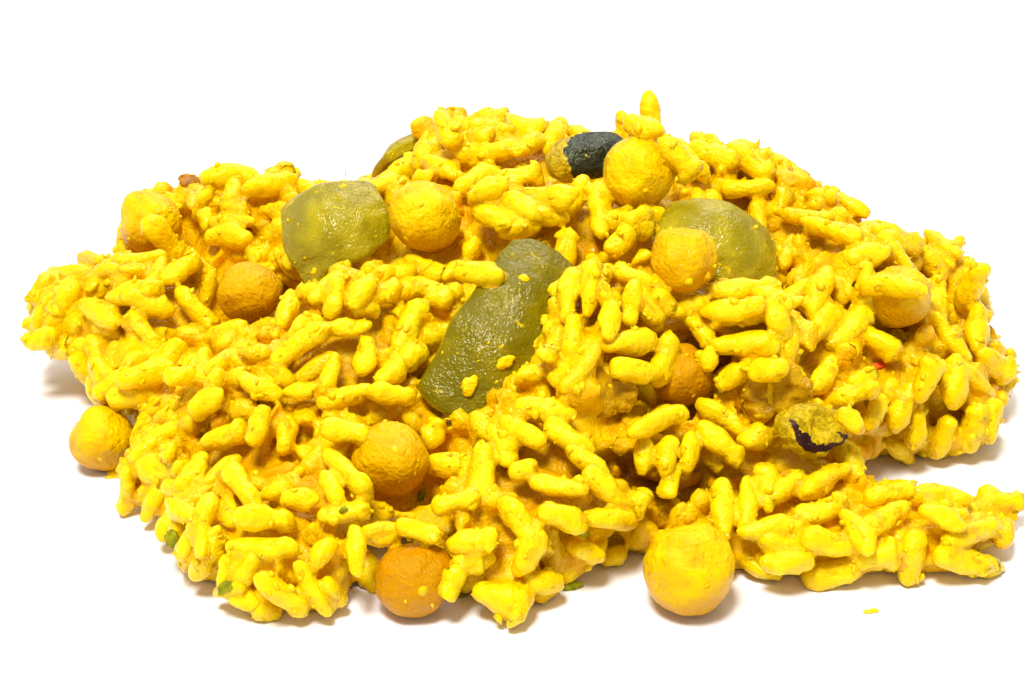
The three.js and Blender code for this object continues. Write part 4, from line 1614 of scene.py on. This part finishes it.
@dataclass
class PhotoGrains:
    """Puts the grains that the photograph shows where it shows them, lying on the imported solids.

    Attributes:
        outline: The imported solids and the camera.
        proud_mm: How far a grain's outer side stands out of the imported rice.
        most_lean: How steeply a grain may lean towards the camera or away from it.
        overhang: Furthest that a grain may stand above the solids' outline, in pixels.
        longest_mm: The longest that a grain may be.
        bare: A grain's own width as a share of the width that shows, which the paste adds to.
        nearby: How far around a grain, in pixels, the surface's direction is taken.
        step: How far apart, in pixels, the places below a grain are tried.
        bedded: How high a grain's middle lies over a topping or the table, as a share of its width.
        plump_ratio: Grains that are shorter than this many widths are plump.
        broken_below: Grains that appear shorter than this, in pixels, may be broken.
        every: One in this many grains is broken or burst.
        tone: Their colour, a little paler than most.
    """

    outline: Outline
    proud_mm: float = 0.9
    most_lean: float = 0.7
    overhang: int = 60
    longest_mm: float = 10.8
    bare: float = 0.94
    nearby: float = 7.0
    step: int = 4
    bedded: float = 0.45
    plump_ratio: float = 1.5
    broken_below: float = 46.0
    every: int = 3
    tone: float = -0.2

    def surface(self, seen: Seen) -> tuple[Vector, Vector, bool, bool]:
        """Finds what carries a grain.

        Args:
            seen: The grain.

        Returns:
            The place in metres, the mean direction of the surface around it, whether it is a topping's, and
            whether the grain's own middle lies in front of it. Where there is no solid, it is the table.
        """
        for down in range(0, self.overhang, self.step):
            hit = self.outline.first_hit(Pixel(seen.x, seen.y + down))
            if hit is None:
                continue
            mean = Vector()
            for aside, below in ((0, 0), (1, 0), (-1, 0), (0, 1), (0, -1)):
                pixel = Pixel(seen.x + aside * self.nearby, seen.y + down + below * self.nearby)
                near = self.outline.first_hit(pixel)
                mean += near[1] if near else hit[1]
            return hit[0], mean.normalized(), hit[2], down == 0
        eye, ray = self.outline.camera.place(), self.outline.camera.ray(Pixel(seen.x, seen.y))
        return eye - ray * (eye.z / ray.z), Vector((0, 0, 1)), False, True

    def grain(self, seen: Seen, number: int) -> Grain:
        """Places one grain."""
        place, normal, on_topping, in_front = self.surface(seen)
        camera = self.outline.camera
        ray, back = camera.ray(Pixel(seen.x, seen.y)), camera.back()
        depth = (place - camera.place()).length - seen.before * MM
        scale = depth / camera.focal() / MM
        turn = math.radians(seen.turn)
        level = Vector((math.cos(turn), 0, 0)) + camera.above() * math.sin(turn)
        lean = -level.dot(normal) / max(back.dot(normal), 0.3)
        lean = max(-self.most_lean, min(self.most_lean, lean)) if in_front else 0.0
        width = seen.wide * scale * self.bare
        length = min(seen.long * scale * math.hypot(1, lean), self.longest_mm)
        rise = width * self.bedded if on_topping else self.proud_mm - width / 2
        centre = (camera.place() + ray * depth) / MM + normal * (rise if in_front else 0.0)
        centre.z = max(centre.z, width * self.bedded)
        kind = GrainKind.WHOLE
        if seen.long < self.plump_ratio * seen.wide:
            kind = GrainKind.PLUMP
        elif number % self.every == 0:
            kind = GrainKind.BROKEN if seen.long < self.broken_below else GrainKind.BURST
        along = np.array((level + back * lean).normalized())
        return Grain(np.array(centre), along, np.array(normal), length, width, kind, self.tone, seen=True)

    def build(self) -> list[Grain]:
        """Places all of them."""
        return [self.grain(seen, number) for number, seen in enumerate(SEEN_GRAINS)]


@dataclass
class LooseGrains:
    """The grains: each is settled on the core and on the grains below it.

    Attributes:
        outline: The form that they keep to.
        finish: The rice.
        length_mm: Length of a whole grain and its spread.
        width_mm: Width of a grain and its spread.
        whole_mm: Limits of a whole grain's length.
        wide_mm: Limits of a grain's width.
        broken_share: Limits of what is left of a broken grain's length.
        under_width: Width of a grain in the paste, as a share of its own, so that it stands out of it.
        rough_mm: Feature size and height of each layer of a grain's roughness.
        rough_seed: Start of its noise.
        flatness: A grain's thickness as a share of its width.
        lumpy: Height of a grain's lumps, as a share of its width.
        taper: How unequal its ends may be.
        bend: How far it may bend and how far its ends may turn apart, as shares of its length.
        kinds: Share of each kind.
        sunk_mm: How far a grain's middle may lie under the surface of the core.
        coated_share: Share of the grains that show only as shapes under the paste.
        least_bare_mm: How far a grain stands out of the paste, at least, to show bare.
        layers: The rounds of settling.
        turns: Directions tried at each place.
        untidy_mm: How much the choice among them is left to chance.
        steep: Limits of the slope of steep grains, in degrees.
        least_upward: The least that the core points upwards to carry a grain.
        lowest_mm: The least height of a place on the core.
        tone_spread: How much the colour differs from grain to grain.
        shade_mm: Depth at which painted shade starts to brown the grains, and over which it grows.
        most_shade: The most painted shade that a grain takes.
        seed: Start of the random draws.
        stations: Middles of the spheres that stand for a grain, along its length.
        sizes: Their widths as shares of the grain's.
        spheres: What has settled.
        grains: The grains that have settled.
    """

    outline: Outline
    finish: CookedRice = field(default_factory=CookedRice)
    length_mm: Pair = (8.2, 0.9)
    width_mm: Pair = (3.15, 0.3)
    under_width: float = 0.98
    whole_mm: Pair = (6.0, 10.2)
    wide_mm: Pair = (2.8, 4.1)
    broken_share: Pair = (0.45, 0.75)
    rough_mm: Relief = ((2.4, 0.35), (0.95, 0.2))
    rough_seed: int = 80
    flatness: float = 0.9
    lumpy: float = 0.08
    taper: float = 0.9
    bend: Pair = (0.1, 0.06)
    kinds: dict[GrainKind, float] = field(
        default_factory=lambda: {
            GrainKind.WHOLE: 0.4,
            GrainKind.PLUMP: 0.2,
            GrainKind.BROKEN: 0.25,
            GrainKind.BURST: 0.15,
        }
    )
    sunk_mm: float = 1.1
    coated_share: float = 0.15
    least_bare_mm: float = -0.05
    layers: tuple[Layer, ...] = (
        Layer(4500, 0.6, (-12.0, 25.0), (0.0, 0.9), 0.5),
        Layer(9000, 4.6, (-20.0, 45.0), (0.2, 1.2), 0.68, 0.25),
        Layer(5000, 6.2, (-10.0, 70.0), (0.5, 1.8), 0.7, 0.6),
    )
    turns: int = 6
    untidy_mm: float = 0.8
    steep: Pair = (30.0, 85.0)
    least_upward: float = -0.55
    lowest_mm: float = 0.7
    tone_spread: float = 0.25
    shade_mm: Pair = (1.6, 5.0)
    most_shade: float = 0.8
    seed: int = 29
    stations: tuple[float, ...] = (-0.37, -0.19, 0.0, 0.19, 0.37)
    sizes: tuple[float, ...] = (0.85, 0.96, 1.0, 0.96, 0.85)
    spheres: SphereGrid = field(default_factory=SphereGrid)
    grains: list[Grain] = field(default_factory=list)

    def avoid(self, toppings: Iterable[Object]) -> None:
        """Keeps the grains out of the pieces that lie in the rice."""
        clear, apart = 0.3, 0.9
        for piece in toppings:
            points = np.unique((points_of(piece.data) / MM / apart).round(), axis=0) * apart
            self.spheres.add(points, np.full(len(points), clear))

    def drop(self, spines: np.ndarray, radii: np.ndarray, out: np.ndarray, layer: Layer) -> np.ndarray:
        """How far each of several grains is lifted by what lies under it.

        Args:
            spines: For each grain, the middles of its spheres at no lift.
            radii: The spheres' radii.
            out: The direction that they are lifted in.
            layer: The round, which says how high a grain may lie and how far the grains press together.

        Returns:
            The lift of each, at least 0.
        """
        reach = radii.max() + 1.8
        highest = layer.highest_mm + self.sunk_mm
        ends = np.concatenate([spines.reshape(-1, 3), spines.reshape(-1, 3) + out * highest])
        centres, sizes = self.spheres.near(ends.min(0) - reach, ends.max(0) + reach)
        if not len(sizes):
            return np.zeros(len(spines))
        offset = spines[:, :, None, :] - centres
        above = offset @ out
        aside = (offset**2).sum(-1) - above**2
        touching = layer.contact * (radii[None, :, None] + sizes)
        room = touching**2 - aside
        top = np.where(room > 0, np.sqrt(np.maximum(room, 0)) - above, 0.0)
        return np.maximum(top.max(axis=(1, 2)), 0.0)

    def settle(self, places: np.ndarray, outs: np.ndarray, layer: Layer, random: np.random.Generator) -> int:
        """Settles one round of grains.

        Args:
            places: Places on the core.
            outs: The outward direction at each.
            layer: What the round allows.
            random: The stream of draws.

        Returns:
            How many grains found a place.
        """
        kinds = list(self.kinds)
        shares = np.array([self.kinds[k] for k in kinds])
        before = len(self.grains)
        for place, out in zip(places, outs):
            kind = kinds[random.choice(len(kinds), p=shares / shares.sum())]
            length = self.length_mm[0] + self.length_mm[1] * random.normal()
            length = float(np.clip(length, *self.whole_mm))
            if kind is GrainKind.BROKEN:
                length *= random.uniform(*self.broken_share)
            width = self.width_mm[0] + self.width_mm[1] * random.normal()
            width = float(np.clip(width, *self.wide_mm))
            turns = random.normal(size=(self.turns, 3))
            flat = unit(turns - np.multiply.outer(turns @ out, out))
            slopes = np.radians(random.uniform(*layer.slope, size=self.turns))
            if random.random() < layer.steep_share:
                slopes = np.radians(random.uniform(*self.steep, size=self.turns))
            along = flat * np.cos(slopes)[:, None] + np.multiply.outer(np.sin(slopes), out)
            low_end = np.abs(np.sin(slopes)) * length * self.stations[-1]
            base = place[None, :] + out * (low_end - self.sunk_mm)[:, None]
            spines = base[:, None, :] + np.array(self.stations)[None, :, None] * length * along[:, None, :]
            radii = np.array(self.sizes) * width / 2
            lifts = self.drop(spines, radii, out, layer)
            score = lifts + low_end + random.uniform(0, self.untidy_mm, size=self.turns)
            best = int(score.argmin())
            if lifts[best] - self.sunk_mm > layer.highest_mm:
                continue
            spine = spines[best] + out * lifts[best]
            under = (radii - spine[:, 2]).max()
            if under > 0:
                spine = spine + np.array([0, 0, under + OFF_TABLE_MM])
            if not self.outline.allows(spine, radii, random.uniform(*layer.over_mm)):
                continue
            self.spheres.add(spine, radii)
            tone = float(random.normal() * self.tone_spread)
            # painted shade: the deeper a grain lies under the outline, the more of the sunk colour it takes
            start, span = self.shade_mm
            sunk = float(np.clip((-self.outline.over(spine[2]) - start) / span, 0, self.most_shade))
            looks = (length, width, kind, tone, sunk, False, random.random(7))
            self.grains.append(Grain(spine[2], along[best], out, *looks))
        return len(self.grains) - before

    def places(self, mass: Object, count: int, random: np.random.Generator):
        """Draws places over the part of the core that shows.

        Args:
            mass: The core.
            count: How many.
            random: The stream of draws.

        Returns:
            The places in millimetres and their outward directions.
        """
        faces = triangles_of(mass.data)
        corners = (points_of(mass.data) / MM)[faces]
        chosen, found, _ = drawn_places(corners, self.least_upward, self.lowest_mm, count, random)
        return found, unit(normals_of(mass.data)[faces[chosen]].mean(1))

    def copies(self, model: Object, grains: list[Grain], name: str) -> Object:
        """Makes one piece of several grains, each its own uneven copy of the model.

        Args:
            model: The modelled grain.
            grains: The placed grains.
            name: The piece's name.

        Returns:
            The piece.
        """
        shape = points_of(model.data)
        faces = triangles_of(model.data)
        draws = np.array([g.draws for g in grains])[:, :, None]
        along = unit(np.array([g.along for g in grains]))
        side = unit(np.cross(np.array([g.out for g in grains]), along))
        spin = draws[:, 0] * 2 * math.pi
        across = side * np.cos(spin) + np.cross(along, side) * np.sin(spin)
        over = np.cross(along, across)
        length = np.array([g.length for g in grains])[:, None]
        width = np.array([g.width for g in grains])[:, None]
        x, y, z = shape.T[:, None, :]
        angle = np.arctan2(z, y)
        lumps = 1 + self.lumpy * np.sin(9 * x + 6 * draws[:, 1])
        lumps += self.lumpy * np.sin(2 * angle + 6 * x + 6 * draws[:, 2])
        lumps *= 1 + (draws[:, 3] - 0.5) * self.taper * x
        bend = (draws[:, 4] - 0.5) * self.bend[0] * length
        twist = (draws[:, 5] - 0.5) * self.bend[1] * length
        lx = x * length
        ly = y * width * lumps + bend * (4 * x**2 - 0.4)
        lz = z * width * self.flatness * (0.9 + 0.2 * draws[:, 6]) * lumps + twist * (2 * x) ** 3
        offset = lx[..., None] * along[:, None, :] + ly[..., None] * across[:, None, :]
        offset += lz[..., None] * over[:, None, :]
        points = (offset + np.array([g.centre for g in grains])[:, None, :]).reshape(-1, 3) * MM
        inner = (offset * along[:, None, :]).sum(-1, keepdims=True) * along[:, None, :] * 0.8
        roughen(points, unit(offset - inner).reshape(-1, 3), self.rough_mm, self.rough_seed)
        points[:, 2] = np.maximum(points[:, 2], OFF_TABLE_MM * MM)
        points = points.reshape(len(grains), -1, 3)
        return many(name, points, faces, [g.tone for g in grains], [g.sunk for g in grains])

    def models(self, sides: int, rings: int) -> dict[GrainKind, Object]:
        """Models one grain of each kind, with its points round it and its rings."""
        fullness = {GrainKind.WHOLE: 2.6, GrainKind.PLUMP: 2.3, GrainKind.BROKEN: 3.0, GrainKind.BURST: 2.5}
        return {kind: GrainModel(kind, full, sides, rings).build() for kind, full in fullness.items()}

    def scatter(self, core: Object, toppings: Iterable[Object]) -> None:
        """Settles all grains on the core and between the toppings."""
        random = np.random.default_rng(self.seed)
        self.avoid(toppings)
        for grain in PhotoGrains(self.outline).build():
            spine = grain.centre + np.multiply.outer(np.array(self.stations) * grain.length, grain.along)
            self.spheres.add(spine, np.array(self.sizes) * grain.width / 2)
            self.grains.append(replace(grain, draws=random.random(7)))
        for layer in self.layers:
            places, outs = self.places(core, layer.tries, random)
            log.info("a layer of %d grains", self.settle(places, outs, layer, random))

    def pieces(self, models: dict[GrainKind, Object], grains: list[Grain], ending: str):
        """Makes one piece of the grains of each kind."""
        made = []
        for kind, model in models.items():
            own = [g for g in grains if g.kind is kind]
            if own:
                made.append(self.copies(model, own, f"{kind.value}_grains{ending}"))
        return made

    def build(self, mass: StickyMass, core: Object, toppings: Sequence[Object]):
        """Settles the grains, draws the paste over them and leaves those that stand out of it.

        Args:
            mass: What makes the paste.
            core: The core.
            toppings: The pieces that lie in the rice.

        Returns:
            The sticky mass and the pieces of rice.
        """
        self.scatter(core, toppings)
        models = self.models(8, 8)
        slim = [replace(grain, width=grain.width * self.under_width) for grain in self.grains]
        skin = mass.skin([core, *self.pieces(models, slim, "_under")], toppings, self.outline)
        log.info("%s: %d faces", skin.name, len(skin.data.polygons))
        surface = surface_of([skin])
        random = np.random.default_rng(self.seed + 1)
        shown = []
        for grain in self.grains:
            ends = np.multiply.outer(np.array(self.stations) * grain.length, grain.along) + grain.centre
            over = [outside(point, surface) for point in ends]
            bare = max(over) + grain.width / 2 > self.least_bare_mm and random.random() > self.coated_share
            if min(over) < grain.width / 2 and (grain.seen or bare):
                shown.append(grain)
        rice = self.finish.build()
        fine_models = self.models(14, 14)
        pieces = self.pieces(models, [grain for grain in shown if not grain.seen], "")
        pieces += self.pieces(fine_models, [grain for grain in shown if grain.seen], "_on_top")
        for piece in pieces:
            dress(piece, rice)
            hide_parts(RICE_NODE)
            log.info("%s: %d faces", piece.name, len(piece.data.polygons))
        for model in (*models.values(), *fine_models.values()):
            bpy.data.objects.remove(model)
        return [skin, *pieces]


@dataclass
class Crumbs:
    """Broken bits of rice and specks of paste that stick to everything.

    Attributes:
        finish: The rice.
        size_mm: The smallest and the largest crumb on the rice.
        speck_mm: The smallest and the largest on the toppings.
        least_upward: The least that a face points upwards to carry one.
        lowest_mm: The least height of one.
        on_mass: How many lie on the sticky mass.
        on_toppings: How many lie on the toppings.
        stretch: Limits of a crumb's stretch along each of its axes.
        rough: How uneven a crumb is.
        tone_spread: How much the colour differs from crumb to crumb.
        shade: How much browner than the grains they are.
        seed: Start of the random draws.
    """

    finish: CookedRice = field(default_factory=lambda: CookedRice("rice_crumbs"))
    size_mm: Pair = (0.35, 1.5)
    speck_mm: Pair = (0.2, 0.7)
    least_upward: float = -0.5
    lowest_mm: float = 0.5
    on_mass: int = 6500
    on_toppings: int = 300
    stretch: Pair = (0.5, 1.6)
    rough: float = 0.18
    tone_spread: float = 0.3
    shade: float = 0.1
    seed: int = 71

    def places(self, pieces: Sequence[Object], count: int, random: np.random.Generator):
        """Draws places over the upper faces of several pieces.

        Args:
            pieces: The pieces.
            count: How many places.
            random: The stream of draws.

        Returns:
            Rows of places and of directions, in metres.
        """
        corners = np.concatenate([points_of(p.data)[triangles_of(p.data)] for p in pieces])
        chosen, found, outs = drawn_places(corners, self.least_upward, self.lowest_mm * MM, count, random)
        return found, outs[chosen]

    def build(self, rice: Sequence[Object], toppings: Sequence[Object]) -> Object:
        """Makes one piece of all crumbs."""
        random = np.random.default_rng(self.seed)
        shape, faces = ball_model(1, 0.5)
        bits = self.places(rice, self.on_mass, random)
        specks = self.places(toppings, self.on_toppings, random)
        places = np.concatenate([bits[0], specks[0]])
        count = len(places)
        least = np.full((count, 1, 1), self.size_mm[0])
        most = np.full((count, 1, 1), self.size_mm[1])
        least[self.on_mass :], most[self.on_mass :] = self.speck_mm
        size = least + (most - least) * random.random((count, 1, 1)) ** 3
        stretch = random.uniform(*self.stretch, size=(count, 1, 3))
        turn, _ = np.linalg.qr(random.normal(size=(count, 3, 3)))
        rough = 1 + random.normal(size=(count, len(shape), 1)) * self.rough
        points = np.einsum("nij,nkj->nki", turn, shape[None] * rough * stretch * size * MM)
        points += places[:, None, :]
        points[..., 2] = np.maximum(points[..., 2], OFF_TABLE_MM * MM)
        tones = random.normal(size=count) * self.tone_spread
        piece = many("rice_crumbs", points, faces, tones, np.full(count, self.shade))
        dress(piece, self.finish.build())
        log.info("%s: %d faces", piece.name, len(piece.data.polygons))
        return piece


class FleckKind(Enum):
    """What a fleck is."""

    CHILLI = "chilli"
    HERB = "herb"
    SCORCHED = "scorched"
    PASTE = "paste"


class Fleck(NamedTuple):
    """A fleck that the photograph shows: its middle, length, width and turn, in pixels and degrees."""

    x: float
    y: float
    long: float
    wide: float
    turn: float
    kind: FleckKind


SEEN_FLECKS = (
    Fleck(879, 367, 21, 8, 14, FleckKind.CHILLI), Fleck(190, 182, 22, 16, 10, FleckKind.SCORCHED),
    Fleck(584, 536, 12, 9, 50, FleckKind.HERB), Fleck(461, 594, 16, 12, 80, FleckKind.HERB),
    Fleck(568, 588, 26, 12, 12, FleckKind.HERB), Fleck(173, 539, 14, 20, 20, FleckKind.HERB),
    Fleck(227, 587, 20, 11, 30, FleckKind.HERB), Fleck(343, 510, 10, 6, 30, FleckKind.HERB),
    Fleck(422, 495, 12, 8, 70, FleckKind.HERB), Fleck(470, 385, 22, 14, 60, FleckKind.PASTE),
    Fleck(505, 362, 18, 12, 30, FleckKind.PASTE), Fleck(870, 612, 14, 5, 8, FleckKind.PASTE),
    Fleck(115, 475, 22, 14, 50, FleckKind.PASTE), Fleck(545, 320, 12, 8, 70, FleckKind.PASTE),
)  # fmt: skip


@dataclass
class Flecks:
    """The bits of chilli, herb and scorched spice, each where the photograph shows it.

    Attributes:
        camera: The photograph's camera.
        finishes: The finish of each kind.
        thick_mm: How thick a fleck is.
        sunk: How deep it lies in what carries it, as a share of its thickness.
    """

    camera: PhotoCamera
    finishes: dict[FleckKind, Finish] = field(
        default_factory=lambda: {
            FleckKind.CHILLI: SpiceFleck("chilli_fleck"),
            FleckKind.HERB: SpiceFleck("herb_fleck", body="96940a", dark="6c6c04"),
            FleckKind.SCORCHED: SpiceFleck("scorched_fleck", body="b4800c", dark="8c5606"),
            FleckKind.PASTE: CookedRice("paste_fleck"),
        }
    )
    thick_mm: float = 0.9
    sunk: float = 0.2

    def shape(self, ball: np.ndarray, fleck: Fleck, carriers: BVHTree, seed: int) -> np.ndarray:
        """Shapes one fleck on what the camera sees behind it.

        Args:
            ball: The points of a ball of radius 1.
            fleck: The fleck.
            carriers: The surfaces that may carry it.
            seed: Chooses its unevenness.

        Returns:
            Its points in metres.
        """
        eye, ray = self.camera.place(), self.camera.ray(Pixel(fleck.x, fleck.y))
        place, normal, _, depth = carriers.ray_cast(eye, ray)
        if place is None:
            place, normal, depth = eye - ray * (eye.z / ray.z), Vector((0, 0, 1)), eye.z / -ray.z
        turn = math.radians(fleck.turn)
        level = Vector((math.cos(turn), 0, 0)) + self.camera.above() * math.sin(turn)
        out = (normal + self.camera.back()).normalized()
        along = (level - out * level.dot(out)).normalized()
        scale = depth / self.camera.focal()
        sizes = np.array([fleck.long * scale, fleck.wide * scale, self.thick_mm * MM]) / 2
        local = ball * (1 + 0.5 * waves(ball * MM * 1.5, 1.0, seed))[:, None] * sizes
        frame = np.array([along, out.cross(along), out])
        return local @ frame + np.array(place + out * sizes[2] * (1 - 2 * self.sunk))

    def build(self, carriers: Sequence[Object]) -> list[Object]:
        """Makes one piece of all flecks of each kind."""
        surfaces = surface_of(carriers)
        ball, faces = ball_model(3, 1.0)
        made = []
        for kind, finish in self.finishes.items():
            own = [(number, fleck) for number, fleck in enumerate(SEEN_FLECKS) if fleck.kind is kind]
            shapes = np.array([self.shape(ball, fleck, surfaces, number) for number, fleck in own])
            even = np.zeros(len(own))
            piece = many(f"{kind.value}_flecks", shapes, faces, even, even)
            made.append(dress(piece, finish.build()))
        return made


# ---- Table and light ----


@dataclass(frozen=True)
class Lamp:
    """A soft lamp: a square that shines on the heap. Metres and watts."""

    name: str
    place: tuple[float, float, float]
    side: float
    power: float


@dataclass
class Studio:
    """The white table, the white room and the soft lamps. Metres and watts.

    Attributes:
        table: The table's finish.
        table_size: The table's side.
        room: The colour of the light from all round.
        room_strength: Its strength.
        aim: The point that the lamps shine at.
        lamps: The lamps.
    """

    table: Tabletop = field(default_factory=Tabletop)
    table_size: float = 6.0
    room: str = "ffffff"
    room_strength: float = 0.42
    aim: tuple[float, float, float] = (0.0, 0.0, 0.02)
    lamps: tuple[Lamp, ...] = (
        Lamp("key_lamp", (-0.14, -0.38, 0.9), 0.25, 12.6),
        Lamp("back_lamp", (0.1, 0.6, 0.7), 0.7, 5.0),
    )

    def build(self) -> None:
        """Makes the table, the world and the lamps."""
        deselect_all()
        bpy.ops.mesh.primitive_grid_add(x_subdivisions=8, y_subdivisions=8, size=self.table_size)
        floor = bpy.context.active_object
        floor.name = "table"
        floor.data.materials.append(self.table.build())
        world = bpy.data.worlds.new("white_room")
        world.use_nodes = True
        world.node_tree.nodes.clear()
        even = {"Color": linear(self.room), "Strength": self.room_strength}
        light = add_node(world.node_tree, "ShaderNodeBackground", inputs=even)
        add_node(world.node_tree, "ShaderNodeOutputWorld", inputs={"Surface": light.outputs["Background"]})
        bpy.context.scene.world = world
        for lamp in self.lamps:
            data = bpy.data.lights.new(lamp.name, "AREA")
            data.size = lamp.side
            data.energy = lamp.power
            piece = linked(lamp.name, data)
            piece.location = lamp.place
            aim = Vector(self.aim) - Vector(lamp.place)
            piece.rotation_euler = aim.to_track_quat("-Z", "Y").to_euler()
        bpy.context.scene.view_settings.view_transform = "Standard"


def main() -> None:
    """Dresses the heap, piece by piece."""
    logging.basicConfig(level=logging.INFO, format="%(name)s: %(message)s")
    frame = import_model()
    nodes = frame["nodes"]
    camera = PhotoCamera()
    camera.create()
    toppings = Chickpeas().build(nodes)
    toppings += VegetablePieces(PEPPER_CUTS, PALE_PEPPER, "green_pepper", bulge_mm=1.6).build(nodes)
    toppings += VegetablePieces(DEEP_CUTS, PepperSkin(), "green_pepper", bulge_mm=1.4).build(nodes)
    toppings += VegetablePieces(AUBERGINE_CUTS, AubergineFlesh(), "aubergine", crease=0.9).build(nodes)
    toppings += VegetablePieces(
        PURPLE_CUTS,
        PURPLE_SKIN,
        "aubergine",
        crease=0.7,
        skin_from=(0.4, 0.75),
        uneven_mm=((3.6, 1.3), (1.2, 0.5)),
    ).build(nodes)
    onion_relief = ((3.4, 1.1), (1.3, 0.45))
    toppings += VegetablePieces(ONION_CUTS, OnionFlesh(), "onion", uneven_mm=onion_relief).build(nodes)
    for piece in toppings:
        log.info("%s: %d faces", piece.name, len(piece.data.polygons))
    topping_nodes = [node for name, node in nodes.items() if name != RICE_NODE]
    outline = Outline(camera, surface_of([nodes[RICE_NODE]]), surface_of(topping_nodes))
    mass = StickyMass(camera)
    core = mass.core(nodes[RICE_NODE], surface_of(toppings))
    rice = LooseGrains(outline).build(mass, core, toppings)
    Crumbs().build(rice, toppings)
    Flecks(camera).build([*rice, *toppings])
    Studio().build()


if __name__ == "__main__":
    main()
